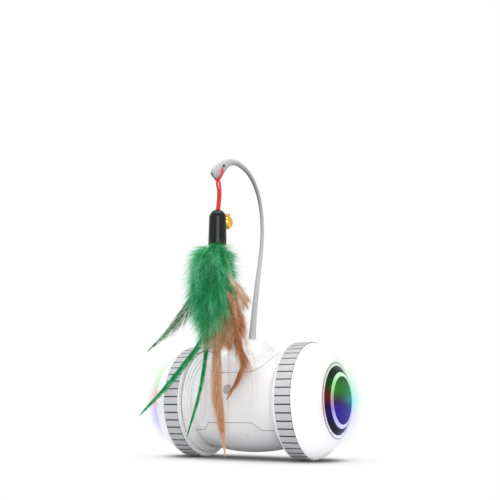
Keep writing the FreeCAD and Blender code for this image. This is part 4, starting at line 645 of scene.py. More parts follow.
TAIL_PAINTED_SHADE_WAY = (-0.30, -0.45, -0.84)
TAIL_PAINTED_SHADE_STOPS = [(0.05, "#c6c7c8"), (0.40, "#b6b7b8"), (0.62, "#a3a4a6"), (0.80, "#8b8c8f"), (0.93, "#626366")]

# Silicone from a satin mould: soft highlights, and painted shade that makes it darker on its under and
# left sides.
TAIL_SILICONE, tree, shader, place = start_material("tail silicone, light grey, with painted shade", {
    "Roughness": 0.48, "Specular IOR Level": 0.35,
})
normal = add(tree, "NewGeometry").outputs["Normal"]
# Painted shade: darker where the surface faces the shaded way.
facing = add(tree, "VectorMath", [normal, TAIL_PAINTED_SHADE_WAY], operation="DOT_PRODUCT").outputs["Value"]
shade = add(tree, "MapRange", [facing, -1.0, 1.0])
connect(shader, {"Base Color": add(tree, "ValToRGB", [shade], TAIL_PAINTED_SHADE_STOPS)})
paint(TAIL_SILICONE, "tail")


# Red cord

# One length of soft round braid, woven from red polyester and folded double. Its loop hangs from a hitch
# through the tail's tip, and its ends are knotted inside the cap.

CORD_DIAMETER = 1.6
CORD_Y = -49.6
CORD_HALF_SPACING = 0.9
CORD_TOP_Z = 152.3
CORD_BOTTOM_Z = 129.1
CORD_BOW = 1.2
LOOP_HALF_WIDTH = 1.15
LOOP_HEIGHT = 3.4

# Satin braid: its weave of 0.3 mm only softens the highlight.
RED_BRAID, tree, shader, place = start_material("red satin cord", {
    "Sheen Weight": 0.2, "Sheen Roughness": 0.4,
})
weave = add(tree, "TexVoronoi", {"Vector": place, "Scale": 1 / (0.3 * MM)}, feature="F1")
connect(shader, {
    "Base Color": add(tree, "ValToRGB", [weave], [(0.1, "#e2231d"), (0.7, "#c31614")]),
    "Roughness": add(tree, "MapRange", [weave, 0.1, 0.7, 0.42, 0.55]),
    "Normal": add(tree, "Bump", {"Height": weave, "Strength": -0.25, "Distance": 0.03 * MM}),
})


def strand(sign):
    """One strand from the loop down to the cap. Both bow a little to the right, as soft braid hangs."""
    loop, hanging = sign * LOOP_HALF_WIDTH, sign * CORD_HALF_SPACING
    return [
        (loop, CORD_Y, CORD_TOP_Z),
        (loop + 0.4 * CORD_BOW, CORD_Y, CORD_TOP_Z - LOOP_HEIGHT),
        (hanging + CORD_BOW, CORD_Y, CORD_TOP_Z - 2 * LOOP_HEIGHT),
        (hanging + CORD_BOW, CORD_Y, CORD_TOP_Z - 4 * LOOP_HEIGHT),
        (hanging, CORD_Y, CORD_BOTTOM_Z),
    ]


def braid(name, points, node, body):
    """A smooth round cord along a route given in millimetres from the axle."""
    curve = bpy.data.curves.new(name, "CURVE")
    curve.dimensions = "3D"
    spline = curve.splines.new("NURBS")
    spline.points.add(len(points) - 1)
    for knot, point in zip(spline.points, points):
        knot.co = (*mm(*point), 1)
    spline.order_u = 3
    spline.use_endpoint_u = True
    curve.resolution_u = 12
    curve.bevel_depth = CORD_DIAMETER / 2 * MM
    curve.bevel_resolution = 4
    curve.use_fill_caps = True
    curve.materials.append(RED_BRAID)
    piece = bpy.data.objects.new(name, curve)
    bpy.context.scene.collection.objects.link(piece)
    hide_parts(node)
    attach(piece, body)
    return piece


cord_loop = braid("red_cord_strands", strand(-1)[::-1] + strand(1), "hanging_cord", "cord")
hitch_side = [(3.1, -47.4, 161.6), (3.2, -49.6, 156.6), (1.9, -50.1, 153.5)]
hitch_points = [
    (0, -46.6, 162.2),
    *hitch_side,
    (0, -50.2, 153.3),
    *[(-x, y, z) for x, y, z in reversed(hitch_side)],
    (-0.05, -46.6, 162.2),
]
hitch = braid("red_cord_hitch", hitch_points, "cord_hitch", "tail")
paint(RED_BRAID, "cord_end_knot")


# Lure cap and feather binding

# The cap over the feather roots is moulded ABS under black lacquer. Inside it, turns of waxed thread bind
# the quills together, and glue holds them.

# Black lacquer: long clean highlights, and faint upright marks 0.8 mm apart with painted streak highlights.
LACQUER, tree, shader, place = start_material("black cap lacquer", {
    "Coat Weight": 0.22, "Coat Roughness": 0.1, "Specular IOR Level": 0.08,
})
upright = add(tree, "Mapping", {"Vector": place, "Scale": (1.0, 1.0, 0.1)})
marks_and_painted_streaks = add(tree, "TexNoise", {"Vector": upright, "Scale": 1 / (0.8 * MM), "Detail": 2, "Roughness": 0.5})
connect(shader, {
    # Painted highlight: the upright marks are a little lighter, as streaks; they also vary the gloss.
    "Base Color": add(tree, "ValToRGB", [marks_and_painted_streaks], [(0.3, "#0d0f10"), (0.75, "#181b1d")]),
    "Roughness": add(tree, "MapRange", [marks_and_painted_streaks, 0.3, 0.7, 0.28, 0.34]),
})
paint(LACQUER, "lure_cap")

# Waxed thread: dull brown rings, drawn 2 mm apart because single turns are too fine to show. A wave
# texture of scale 1 has this many bands to the metre.
WAVE_BANDS = 20 / (2 * math.pi)
THREAD_TURN = 1.9635
WAXED_THREAD, tree, shader, place = start_material("brown waxed thread", {"Roughness": 0.6})
turns = add(tree, "TexWave", {
    "Vector": place, "Scale": 1 / (WAVE_BANDS * THREAD_TURN * MM), "Distortion": 1.5,
}, bands_direction="Z").outputs["Fac"]
connect(shader, {
    "Base Color": add(tree, "ValToRGB", [turns], [(0.2, "#4d3418"), (0.8, "#a2763c")]),
    "Normal": add(tree, "Bump", {"Height": turns, "Strength": 0.5, "Distance": 0.1 * MM}),
})
paint(WAXED_THREAD, "feather_binding")


# Brass bell

# A small round bell on a wire ring through the cap's shoulder, with a steel pellet inside. The bell is
# stamped from sheet brass and the ring is drawn brass wire, both polished.

# Polished brass: a warm yellow with sharp reflections, which a faint grain of 0.6 mm breaks up.
BRASS = bare_metal("polished brass", ("#d99a2b", "#f0c05a"), 0.16, 0.6)
paint(BRASS, "bell", "bell_ring")
paint(STEEL, "bell_pellet")


# Marabou fluff

# The full green down under the cap, which turns to cinnamon on its right and lower side. It is dyed turkey
# marabou, bound in by its quills. Every barb is a thin tapered thread of its own.

AXIS = np.array([0.0, CORD_Y, 0.0])
LURE_TURN = math.radians(29.5)
SIDEWAYS = np.array([math.cos(LURE_TURN), math.sin(LURE_TURN), 0.0])
OUTWARD = np.array([math.sin(LURE_TURN), -math.cos(LURE_TURN), 0.0])
DOWN = np.array([0.0, 0.0, -1.0])
BARB_POINTS = 7
THREAD_SIDES = 3
TINY = 1e-12
FLUFF_FORM = [
    # height above the axle, shift sideways, half width, half depth
    (25.0, 3.6, 6.0, 4.5),
    (33.0, 3.6, 9.0, 7.0),
    (43.5, 2.8, 14.4, 10.5),
    (57.0, 0.8, 17.2, 13.5),
    (71.0, -2.4, 17.4, 14.5),
    (85.0, -3.6, 16.8, 14.5),
    (98.0, -3.4, 14.2, 13.0),
    (102.5, -2.2, 10.0, 9.5),
    (106.0, -0.3, 4.6, 4.6),
]
FLUFF_HEIGHTS, *FLUFF_SIZES = zip(*FLUFF_FORM)
# By height, how far sideways the green reaches, and how many degrees the barbs stand out.
GREEN_LIMIT = ([33, 43, 50, 57, 71, 85, 107], [-7, -3, 2, 6, 11, 15, 22])
FLARE = ([30, 50, 70, 90, 98, 105], [18, 32, 48, 62, 76, 88])
BARB_LENGTH = ([25, 45, 107], [0.8, 1.0, 1.0])
# Thickness at the root and at the tip.
DOWN_THICKNESS = (0.09, 0.025)
PLUME_THICKNESS = (0.16, 0.12)
STRAY_THICKNESS = (0.06, 0.02)
CLUMP_COUNT = 1000
CLUMP_BARBS = 15
CLUMP_SIZE = 0.9
PLUME_STRANDS = 22
PLUME_TOP = 105.5
PLUME_ENDS = [84, 76, 68, 60, 52, 44, 38]
STRAY_COUNT = 900
BORDER_BLUR = 2.5
FEATHER_SEED = 7


def dyed_feather(name, stops):
    """Dyed keratin: each barb has a shade of its own, with a paler tip, and light shines through it."""
    material, tree, shader, _ = start_material(name, {
        "Roughness": 0.7, "Sheen Weight": 0.05, "Sheen Roughness": 0.5, "Specular IOR Level": 0.1,
    })
    shade = add(tree, "SeparateColor", [add(tree, "VertexColor", layer_name="shade")])
    colour = add(tree, "ValToRGB", [shade], stops)
    connect(shader, {"Base Color": colour})
    through = add(tree, "BsdfTranslucent", {"Color": colour})
    connect(tree.nodes["Material Output"], {"Surface": add(tree, "MixShader", [0.15, shader, through])})
    return material


# Dyed marabou: deep green to pale mint at the barbs' tips; deep barbs get the deep green as painted shade.
GREEN_DOWN = dyed_feather("dyed green down", [
    (0.0, "#0a8840"), (0.3, "#1fb15f"), (0.6, "#54d491"), (0.85, "#a6edc8"), (1.0, "#dcf9e9"),
])
# Natural cock's feather: cinnamon, almost white at its tips.
CINNAMON = dyed_feather("cinnamon hackle", [
    (0.0, "#b0653a"), (0.35, "#dc9c6c"), (0.65, "#efc8a4"), (1.0, "#fcefe0"),
])


def unit(vectors):
    """Vectors of length one, along the last axis."""
    return vectors / (np.linalg.norm(vectors, axis=-1, keepdims=True) + TINY)


class Threads:
    """Collects barbs and pieces of shaft, which all have the same number of points."""

    def __init__(self):
        self.paths = []
        self.radii = []
        self.shades = []

    def add(self, path, thick, thin, shade, tip_shade):
        share = np.linspace(0, 1, BARB_POINTS)
        self.paths.append(path)
        self.radii.append((thick + (thin - thick) * share) * MM)
        self.shades.append(shade + (tip_shade - shade) * share)

    def mesh(self, name, material, slot, node=None):
        """Makes the threads one mesh of tapered tubes, which rides on the lure."""
        paths = (np.array(self.paths) + [0, 0, AXLE_HEIGHT]) * MM
        along = unit(np.gradient(paths, axis=1))
        guide = np.where(np.abs(along[..., 2:3]) > 0.9, [[[1.0, 0, 0]]], [[[0, 0, 1.0]]])
        across = unit(np.cross(along, guide))
        other = np.cross(along, across)
        rings = []
        for side in range(THREAD_SIDES):
            angle = 2 * math.pi * side / THREAD_SIDES
            offset = across * math.cos(angle) + other * math.sin(angle)
            rings.append(paths + offset * np.array(self.radii)[..., None])
        verts = np.stack(rings, axis=2).reshape(-1, 3)
        index = np.arange(len(verts)).reshape(-1, BARB_POINTS, THREAD_SIDES)
        low, high = index[:, :-1, :], index[:, 1:, :]
        quads = np.stack([low, np.roll(low, -1, axis=2), np.roll(high, -1, axis=2), high], axis=-1)
        mesh = bpy.data.meshes.new(name)
        mesh.vertices.add(len(verts))
        mesh.vertices.foreach_set("co", verts.astype(np.float32).ravel())
        mesh.loops.add(quads.size)
        mesh.loops.foreach_set("vertex_index", quads.astype(np.int32).ravel())
        mesh.polygons.add(quads.size // 4)
        mesh.polygons.foreach_set("loop_start", np.arange(0, quads.size, 4, dtype=np.int32))
        mesh.update(calc_edges=True)
        mesh.shade_smooth()
        tint = mesh.color_attributes.new("shade", "FLOAT_COLOR", "POINT")
        tones = np.repeat(np.clip(self.shades, 0, 1).ravel(), THREAD_SIDES)
        colours = np.stack([tones, tones, tones, np.ones(len(tones))], axis=1)
        tint.data.foreach_set("color", colours.astype(np.float32).ravel())
        mesh.materials.append(material)
        piece = bpy.data.objects.new(name, mesh)
        bpy.context.scene.collection.objects.link(piece)
        if node:
            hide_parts(node)
        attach(piece, "lure")


def smooth_line(controls, count):
    """Points along a smooth curve through the control points."""
    controls = [np.array(point, float) for point in controls]
    padded = [2 * controls[0] - controls[1]] + controls + [2 * controls[-1] - controls[-2]]
    spans = len(controls) - 1
    result = []
    for step in range(count):
        place = min(step / (count - 1) * spans, spans - 1e-9)
        span = int(place)
        t = place - span
        a, b, c, d = padded[span : span + 4]
        bend, twist = 2 * a - 5 * b + 4 * c - d, 3 * b - a - 3 * c + d
        result.append(0.5 * (2 * b + (c - a) * t + bend * t**2 + twist * t**3))
    return np.array(result)


def barb(rng, root, way, onward, length, droop, waviness):
    """A barb that leaves along way, leans onward along the shaft and droops."""
    path = [root]
    wander = np.array([rng.gauss(0, 1) for _ in range(3)]) * waviness
    for step in range(1, BARB_POINTS):
        share = step / (BARB_POINTS - 1)
        aim = unit(way * (1 - 0.55 * share) + onward * 0.8 * share + wander * share)
        aim = aim + DOWN * droop * share
        path.append(path[-1] + unit(aim) * length / (BARB_POINTS - 1))
    return np.array(path)


def fluff_point(height, spin, share):
    """A point at a height, at an angle round the fluff, and a share of the way out to its surface."""
    shift, width, depth = [np.interp(height, FLUFF_HEIGHTS, sizes) for sizes in FLUFF_SIZES]
    across = shift + width * share * math.cos(spin)
    forward = depth * share * math.sin(spin)
    return AXIS + SIDEWAYS * across + OUTWARD * forward - DOWN * height


def is_green(rng, point):
    """Whether a barb here is green. The border between green and cinnamon is ragged."""
    across = float(np.dot(point - AXIS, SIDEWAYS))
    return across < np.interp(point[2], *GREEN_LIMIT) + rng.gauss(0, BORDER_BLUR)


def down_clumps(rng, green, brown, count):
    """Soft barbs in small clumps, that stand out near the cap and hang lower down."""
    for _ in range(count):
        height = 103.5 - 63 * rng.random() ** 0.9
        spin = rng.uniform(0, 2 * math.pi)
        share = math.sqrt(rng.uniform(0.02, 0.60))
        flare = math.radians(np.interp(height, *FLARE) * rng.uniform(0.6, 1.3))
        # Painted shade: barbs deeper in the fluff take darker tones.
        tone = 0.10 + 0.42 * share + rng.gauss(0, 0.12)
        turn = rng.gauss(0, 0.35)
        for _ in range(CLUMP_BARBS):
            root = fluff_point(height, spin, share) + np.array([rng.gauss(0, CLUMP_SIZE) for _ in range(3)])
            lean = flare + rng.gauss(0, 0.18)
            around = spin + turn + rng.gauss(0, 0.22)
            outward = SIDEWAYS * math.cos(around) + OUTWARD * math.sin(around)
            way = outward * math.sin(lean) + DOWN * math.cos(lean)
            length = rng.uniform(6, 12.5) * np.interp(height, *BARB_LENGTH)
            path = barb(rng, root, way, way, length, 0.30, 0.30)
            threads = green if is_green(rng, root) else brown
            own = tone + rng.gauss(0, 0.05)
            threads.add(path, *DOWN_THICKNESS, own, own + 0.25)


def plumes(rng, green, brown, count, inner, outer, darkest, palest):
    """Long strands in bundles, from the cap down through the fluff, between two shares of its width."""
    for _ in range(count):
        spin = rng.uniform(0, 2 * math.pi)
        low = rng.choice(PLUME_ENDS)
        bundle_tone = rng.uniform(darkest, palest)
        reach = rng.uniform(inner, outer)
        for _ in range(PLUME_STRANDS):
            turn = spin + rng.gauss(0, 0.14)
            end = low + rng.uniform(-5, 5)
            controls = [
                fluff_point(PLUME_TOP, turn, rng.uniform(0.3, 0.9)),
                fluff_point(99, turn + rng.gauss(0, 0.05), reach * 0.72),
                fluff_point((100 + end) / 2, turn + rng.gauss(0, 0.12), reach * 0.92),
                fluff_point(end, turn + rng.gauss(0, 0.16), reach),
            ]
            line = smooth_line(controls, 2 * BARB_POINTS - 1)
            tone = bundle_tone + rng.gauss(0, 0.08)
            for piece in (line[:BARB_POINTS], line[BARB_POINTS - 1 :]):
                threads = green if is_green(rng, piece[3]) else brown
                threads.add(piece, *PLUME_THICKNESS, tone, tone + 0.08)
                tone += 0.08


def stray_barbs(rng, green, brown, count):
    """Fine pale barbs that stand out beyond the fluff."""
    for _ in range(count):
        height = rng.uniform(45, 105)
        spin = rng.uniform(0, 2 * math.pi)
        root = fluff_point(height, spin, 0.85)
        flare = math.radians(rng.uniform(50, 110))
        outward = SIDEWAYS * math.cos(spin) + OUTWARD * math.sin(spin)
        way = outward * math.sin(flare) + DOWN * math.cos(flare)
        path = barb(rng, root, way, outward, rng.uniform(5, 10), 0.25, 0.4)
        threads = green if is_green(rng, root) else brown
        threads.add(path, *STRAY_THICKNESS, 0.6, 0.85)


rng = random.Random(FEATHER_SEED)
green_down, brown_down = Threads(), Threads()
down_clumps(rng, green_down, brown_down, CLUMP_COUNT)
# Painted shade: the plumes deep in the fluff are darker than those near its surface.
plumes(rng, green_down, brown_down, 60, 0.1, 0.7, 0.0, 0.3)
plumes(rng, green_down, brown_down, 12, 0.8, 1.0, 0.3, 0.8)
stray_barbs(rng, green_down, brown_down, STRAY_COUNT)
green_down.mesh("green_marabou", GREEN_DOWN, "green_feather", "marabou_fluff")


# Cinnamon tufts and strands

# Small body feathers with round ends at the fluff's right and lower side, and strands that hang apart
# from each other below it. They are cock's feathers of a natural brown, bound in with the marabou.

CURLED_TUFTS = [
    # height and sideways place of the root, the middle and the tip, then half width and tone
    (84, 6, 74, 15, 65, 21, 4.5, 0.70),
    (78, 8, 68, 16, 62, 19, 4.0, 0.60),
    (74, 5, 64, 12, 57, 15, 5.0, 0.50),
    (66, 7, 54, 15, 45, 16, 6.5, 0.28),
    (60, 5, 50, 14, 42, 13, 5.0, 0.22),
]
TUFT_BARB_ANGLE = 36
TUFT_BARBS = 140
TUFT_CURL = 0.30
STRAND_COUNT = 75
STRAND_THICKNESS = (0.32, 0.06)
BARB_THICKNESS = (0.11, 0.03)
BARB_CURL = 0.05
SHAFT_STEPS = 59
SHARED_SHADE = 5


def hackle(rng, threads, controls, widths, angle, count, tone, start, curl=BARB_CURL):
    """Rows of barbs along a shaft, whose vane has these half widths. Barbs in a clump share a shade."""
    shaft = smooth_line(controls, SHAFT_STEPS + 1)
    along = np.gradient(shaft, axis=0)
    clump = 0.0
    for index in range(count):
        share = start + (1 - start) * (index + rng.random()) / count
        place = share * SHAFT_STEPS
        at = int(min(place, SHAFT_STEPS - 1))
        root = shaft[at] + (shaft[at + 1] - shaft[at]) * (place - at)
        onward = unit(along[at])
        side = unit(np.cross(onward, OUTWARD))
        lean = math.radians(angle * rng.uniform(0.7, 1.3))
        length = np.interp(share, *widths) / math.sin(lean) * rng.uniform(0.7, 1.1)
        if index % SHARED_SHADE == 0:
            clump = rng.gauss(0, 0.16)
        for sign in (-1, 1):
            way = onward * math.cos(lean) + side * sign * math.sin(lean)
            way = unit(way + OUTWARD * rng.gauss(0, 0.3) * math.sin(lean))
            shade = tone + clump + rng.gauss(0, 0.06)
            path = barb(rng, root, way, onward, length, 0.02 + curl, curl)
            threads.add(path, *BARB_THICKNESS, shade, shade + 0.15)


def curled_tufts(rng, brown):
    """Small feathers with round ends and curly barbs."""
    for root_z, root_x, middle_z, middle_x, tip_z, tip_x, half_width, tone in CURLED_TUFTS:
        root = AXIS + SIDEWAYS * root_x + OUTWARD * 6 - DOWN * root_z
        middle = AXIS + SIDEWAYS * middle_x + OUTWARD * 11 - DOWN * middle_z
        tip = AXIS + SIDEWAYS * tip_x + OUTWARD * 9 - DOWN * tip_z
        widths = ([0, 0.4, 0.85, 1], [half_width / 2, half_width, half_width, half_width / 2])
        hackle(rng, brown, [root, middle, tip], widths, TUFT_BARB_ANGLE, TUFT_BARBS, tone, 0.0, TUFT_CURL)


def hanging_strands(rng, brown, count):
    """Strands that hang apart from each other below the fluff."""
    for _ in range(count):
        across = rng.uniform(-8, 13)
        spread = SIDEWAYS * across + OUTWARD * rng.uniform(3, 9)
        controls = [
            AXIS + 0.7 * spread + SIDEWAYS * 2 - DOWN * 66,
            AXIS + 0.9 * spread + SIDEWAYS * rng.gauss(1, 1) - DOWN * 54,
            AXIS + spread + SIDEWAYS * rng.gauss(0, 1) - DOWN * rng.uniform(31, 43),
        ]
        tone = rng.uniform(-0.1, 0.7)
        brown.add(smooth_line(controls, BARB_POINTS), *STRAND_THICKNESS, tone, tone + 0.2)


curled_tufts(rng, brown_down)
hanging_strands(rng, brown_down, STRAND_COUNT)
brown_down.mesh("brown_down", CINNAMON, "brown_feather")


# Long green feathers

# Two narrow cock's hackles that hang far below the fluff, in front of the barrel. They are dyed green,
# and their barbs lie in close rows towards the tip.

SHAFT_PIECES = 8
SHAFT_TAPER = 0.85
QUILL_THICKNESS = 0.45
BARE_SHARE = 0.25
GREEN_HACKLES = [
    # route, half widths by share of the shaft, barb angle, barbs a side, tone
    (
        [(-1.5, -50.5, 106), (-3.5, -51, 70), (-9.3, -52, 43.4), (-28.2, -57, 16.1), (-53.8, -60, -9.1)],
        ([0, 0.35, 0.6, 0.85, 1], [2.0, 3.0, 3.4, 2.2, 0.6]), 15, 460, 0.20,
    ),
    (
        [(0.5, -52.5, 106), (-3, -52, 70), (-6.4, -51.5, 36.7), (-11.1, -52, 6.7), (-19.5, -54, -23.3)],
        ([0, 0.35, 0.6, 0.85, 1], [1.6, 2.4, 2.4, 1.5, 0.4]), 15, 400, 0.12,
    ),
]


def shaft_threads(threads, controls, thick, tone):
    """The shaft itself, in pieces that have the same number of points as a barb."""
    step = BARB_POINTS - 1
    line = smooth_line(controls, SHAFT_PIECES * step + 1)
    for piece in range(SHAFT_PIECES):
        start = thick * (1 - SHAFT_TAPER * piece / SHAFT_PIECES)
        end = thick * (1 - SHAFT_TAPER * (piece + 1) / SHAFT_PIECES)
        threads.add(line[piece * step : (piece + 1) * step + 1], start, end, tone, tone)


def hackle_group(rng, rows):
    """Feathers with a darker shaft, whose barbs begin a quarter of the way down."""
    threads = Threads()
    for controls, widths, angle, count, tone in rows:
        hackle(rng, threads, controls, widths, angle, count, tone, BARE_SHARE)
        shaft_threads(threads, controls, QUILL_THICKNESS, tone - 0.3)
    return threads


hackle_group(rng, GREEN_HACKLES).mesh("green_hackles", GREEN_DOWN, "green_feather", "green_feathers")


# Olive feather

# A broader hackle that leaves the fluff to the left, and the bare quill of another that crosses below
# it. Both are natural brown feathers dyed over with green, which gives olive.

OLIVE_HACKLES = [
    # route, half widths by share of the shaft, barb angle, barbs a side, tone
    (
        [(-2, -52, 106), (-9, -53, 84), (-16.6, -54.5, 67.7), (-29.2, -57, 50.8), (-49.5, -60, 33.6)],
        ([0, 0.35, 0.5, 0.7, 0.85, 1], [3.0, 7.0, 8.0, 5.6, 2.6, 0.6]), 32, 240, 0.30,
    ),
]
OLIVE_QUILL_THICKNESS = 0.35
OLIVE_QUILL = [(-11.8, -55, 30.4), (-6.1, -55, 32.2), (-1.2, -55, 31.7), (3.6, -55, 29.5)]

# Brown feather under green dye: olive at the shaft, and green towards the tips.
OLIVE = dyed_feather("olive green hackle", [
    (0.0, "#3c4a20"), (0.3, "#3f7a3a"), (0.6, "#4fae6e"), (1.0, "#b4e0c5"),
])
olive_long = hackle_group(rng, OLIVE_HACKLES)
shaft_threads(olive_long, OLIVE_QUILL, OLIVE_QUILL_THICKNESS, 0.0)
olive_long.mesh("olive_hackles", OLIVE, "green_feather")


# Long brown feathers

# Two soft hackles below the fluff's right side, the outer one curved back towards the barrel. They
# keep the bird's natural cinnamon colour.

BROWN_HACKLES = [
    # route, half widths by share of the shaft, barb angle, barbs a side, tone
    (
        [(1.5, -49, 106), (1.5, -49, 70), (0.3, -49, 38), (0.6, -49, 14), (3.2, -49, -8), (7.0, -49, -34)],
        ([0, 0.3, 0.45, 0.55, 0.65, 0.75, 0.85, 0.93, 1], [2.0, 4.5, 6.4, 6.0, 5.2, 3.8, 2.4, 1.4, 0.5]),
        15, 560, 0.38,
    ),
    (
        [(3, -47.5, 106), (8, -47, 80), (13, -47, 56), (15.5, -47, 39.6), (17.8, -47, 32.3),
         (18.6, -47, 24.5), (15.6, -47, 14.9), (11.1, -47.5, 6.6), (7.7, -48, 0.6)],
        ([0, 0.3, 0.4, 0.5, 0.6, 0.75, 0.88, 1], [2.0, 4.5, 5.0, 4.2, 3.2, 2.2, 1.2, 0.3]), 18, 480, 0.12,
    ),
]
hackle_group(rng, BROWN_HACKLES).mesh("brown_hackles", CINNAMON, "brown_feather", "brown_feathers")


# Loose barbs

# Single long brown barbs that have come away from their rows and hang loose below the rest, three
# close together on each route.

LOOSE_BARBS = [
    [(-1, -48, 106), (-5, -48, 70), (-10.2, -48, 37), (-11.5, -48, 20), (-13.9, -48, -26)],
    [(-1, -48, 106), (-4, -48, 70), (-8.5, -48, 37), (-9.9, -48, -3), (-10.6, -48, -13)],
    [(0, -48, 106), (-2, -48, 60), (-2.5, -48, 6.7), (0.9, -48, -12.8), (4.1, -48, -25.6)],
    [(3, -48, 106), (6, -48, 60), (9.2, -48, 16.3), (9.3, -48, 0.1), (9.1, -48, -29.9)],
    [(2.5, -48, 106), (12, -48, 75), (21.4, -48, 48.9), (22.9, -48, 22.5), (22.6, -48, 7.7)],
    [(3.5, -48, 106), (12, -48, 72), (24.4, -48, 35.5), (28.2, -48, 22.4), (29.4, -48, -6.3)],
    [(3, -48, 106), (11, -48, 75), (23.7, -48, 29), (25.2, -48, 6.4), (26.3, -48, -5.1)],
]
BARBS_TOGETHER = 3
LOOSE_THICKNESS = 0.16

loose = Threads()
for controls in LOOSE_BARBS:
    for _ in range(BARBS_TOGETHER):
        drift = [point + np.array([rng.gauss(0, 0.9), rng.gauss(0, 0.5), 0]) for point in np.array(controls)]
        shaft_threads(loose, drift, LOOSE_THICKNESS, rng.uniform(0.1, 0.5))
loose.mesh("loose_brown_barbs", CINNAMON, "brown_feather")


# Studio floor

# A matt painted white table that runs out of sight on all sides. It is seen as plain white, with a painted
# dark shadow where the wheels and the barrel come near it, from how much open sky each point has.

FLOOR_HALF_SIZE = 3000
FLOOR_GAP = 0.05
SHADOW_REACH = 45
FLOOR_PAINTED_SHADOW = [(0.0, "#2c2c2e"), (0.2, "#6e6e70"), (0.38, "#c8c8c9"), (0.55, "#f2f2f2"), (0.8, "#ffffff")]


def sees_background(tree):
    """1 for the camera and for mirror and glass rays, 0 for the light that falls on the object."""
    path = add(tree, "LightPath").outputs
    seen = add(tree, "Math", [path["Is Camera Ray"], path["Is Glossy Ray"]], operation="MAXIMUM")
    return add(tree, "Math", [seen, path["Is Transmission Ray"]], operation="MAXIMUM")


# Matt paint: it sends soft light up to the toy, less than it seems to when it is seen.
FLOOR_PAINT, tree, shader, place = start_material("white studio floor", {
    "Roughness": 0.6, "Specular IOR Level": 0.2,
})
cloud = add(tree, "TexNoise", {"Vector": place, "Scale": 1 / (60 * MM), "Detail": 3, "Roughness": 0.55})
connect(shader, {"Base Color": add(tree, "ValToRGB", [cloud], [(0.3, "#c2c2c4"), (0.7, "#c6c6c8")])})
open_sky = add(tree, "AmbientOcclusion", {"Distance": SHADOW_REACH * MM}, samples=16).outputs["AO"]
# Painted shadow: what the camera sees is coloured by the open sky over each point.
shown = add(tree, "Emission", {"Color": add(tree, "ValToRGB", [open_sky], FLOOR_PAINTED_SHADOW), "Strength": 1.0})
connect(tree.nodes["Material Output"], {
    "Surface": add(tree, "MixShader", [sees_background(tree), shader, shown]),
})
corners = [
    mm(x * FLOOR_HALF_SIZE, y * FLOOR_HALF_SIZE, -AXLE_HEIGHT - FLOOR_GAP)
    for x, y in ((-1, -1), (1, -1), (1, 1), (-1, 1))
]
finish_mesh("studio_floor", corners, [(0, 1, 2, 3)], FLOOR_PAINT)


# Haze round the hubs

# The coloured light that the lamps throw into the air round each hub. It is drawn as a flat ball of
# tinted air, which takes the other colours out of the white behind it and fades outwards.

HAZE_REACH = 33
HAZE_HALF_DEPTH = 12
HAZE_X = 67
HAZE_FRONT = {
    "right": [
        (0.0, "#f4f3ff"), (0.28, "#c8c6ff"), (0.46, "#ff9088"), (0.56, "#ff9c8c"), (0.72, "#ccf7c6"),
        (1.0, "#f2fff2"),
    ],
    "left": [
        (0.0, "#e4e4ff"), (0.28, "#8c8cff"), (0.42, "#b29cff"), (0.5, "#ff928c"), (0.58, "#ffa08c"),
        (0.68, "#a0f58c"), (0.82, "#8cff8c"), (1.0, "#e4ffe4"),
    ],
}
HAZE_BACK = [
    (0.0, "#f8f7ff"), (0.32, "#e4e8ff"), (0.52, "#8cf6fb"), (0.64, "#c2fbe8"), (0.8, "#ecffec"),
    (1.0, "#fbfffb"),
]
HAZE_DENSITY = {"right": 50.0, "left": 80.0}
HAZE_FADE_START = 0.6
HAZE_HALF_BLEND = 0.3

for side, sign in SIDES.items():
    bpy.ops.mesh.primitive_uv_sphere_add(
        segments=48, ring_count=24, radius=1, location=mm(sign * HAZE_X, 0, 0)
    )
    haze = bpy.context.object
    haze.name = f"hub_haze_{side}"
    haze.scale = (HAZE_HALF_DEPTH * MM, HAZE_REACH * MM, HAZE_REACH * MM)
    tinted_air, tree, shader, place = start_material(f"coloured haze {side}")
    tree.nodes.remove(shader)
    distance = add(tree, "VectorMath", [place], operation="LENGTH").outputs["Value"]
    volume = add(tree, "VolumeAbsorption", {
        "Color": lamp_colours(tree, place, -1, 1, HAZE_HALF_BLEND, HAZE_FRONT[side], HAZE_BACK),
        "Density": add(tree, "MapRange", [distance, HAZE_FADE_START, 1.0, HAZE_DENSITY[side], 0.0]),
    })
    connect(tree.nodes["Material Output"], {"Volume": volume})
    haze.data.materials.append(tinted_air)


# Studio room and lamps

# A white room with soft square lamps, as a product is photographed in. The room is plain white where
# it is seen or mirrored, and lights the object as a soft sky over a darker ground.

SKY_STRENGTH = 0.55

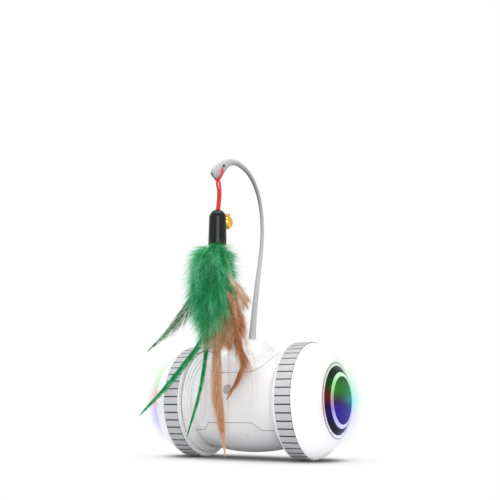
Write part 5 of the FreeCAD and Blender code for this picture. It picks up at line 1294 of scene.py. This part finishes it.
room = bpy.data.worlds.new("studio")
bpy.context.scene.world = room
room.use_nodes = True
tree = room.node_tree
tree.nodes.clear()
way = add(tree, "SeparateXYZ", [add(tree, "TexCoord").outputs["Generated"]])
height = add(tree, "MapRange", [way.outputs["Z"], -0.3, 0.9])
sky = add(tree, "ValToRGB", [height], [(0.0, "#8c8c8e"), (0.3, "#b4b5b7"), (1.0, "#ffffff")])
soft = add(tree, "Background", {"Color": sky, "Strength": SKY_STRENGTH})
plain = add(tree, "Background", {"Color": "#ffffff", "Strength": 1.0})
add(tree, "OutputWorld", {"Surface": add(tree, "MixShader", [sees_background(tree), soft, plain])})


def softbox(name, place, target, size, power, mirrored=True):
    """A soft square lamp, placed in metres and aimed at a point. The gloss shows it only if mirrored."""
    lamp = bpy.data.lights.new(name, "AREA")
    lamp.shape = "RECTANGLE"
    lamp.size, lamp.size_y = size
    lamp.energy = power
    stand = bpy.data.objects.new(name, lamp)
    stand.location = place
    stand.rotation_euler = (Vector(target) - Vector(place)).to_track_quat("-Z", "Y").to_euler()
    stand.visible_glossy = mirrored
    bpy.context.scene.collection.objects.link(stand)


softbox("top_softbox", (0.10, -0.15, 0.90), (0, 0, 0.06), (0.7, 0.6), 4.6)
softbox("front_softbox", (0.60, -0.85, 0.28), (0, 0, 0.04), (0.6, 0.5), 5.6)
softbox("left_softbox", (-0.6, -0.70, 0.30), (0, 0, 0.04), (0.4, 0.5), 2.2, mirrored=False)
softbox("low_right_softbox", (0.9, -0.15, 0.03), (0.06, 0, 0.03), (0.4, 0.3), 1.6, mirrored=False)


# Camera

# It stands where the ellipses of the two wheels and the edges of the treads in the photograph put it, a
# little below the axle, and looks up.

LENS_LENGTH = 51.08
CAMERA_PLACE = (256.7, -457.7, -3.7)
CAMERA_UP = 12.39
CAMERA_TURN = 29.47

camera = bpy.data.cameras.new("photo_camera")
camera.sensor_width = 36
camera.lens = LENS_LENGTH
camera.clip_start = 0.01
viewpoint = bpy.data.objects.new("photo_camera", camera)
viewpoint.location = mm(*CAMERA_PLACE)
viewpoint.rotation_euler = (math.radians(90 + CAMERA_UP), 0, math.radians(CAMERA_TURN))
bpy.context.scene.collection.objects.link(viewpoint)
bpy.context.scene.camera = viewpoint

bpy.context.scene.view_settings.view_transform = "Standard"
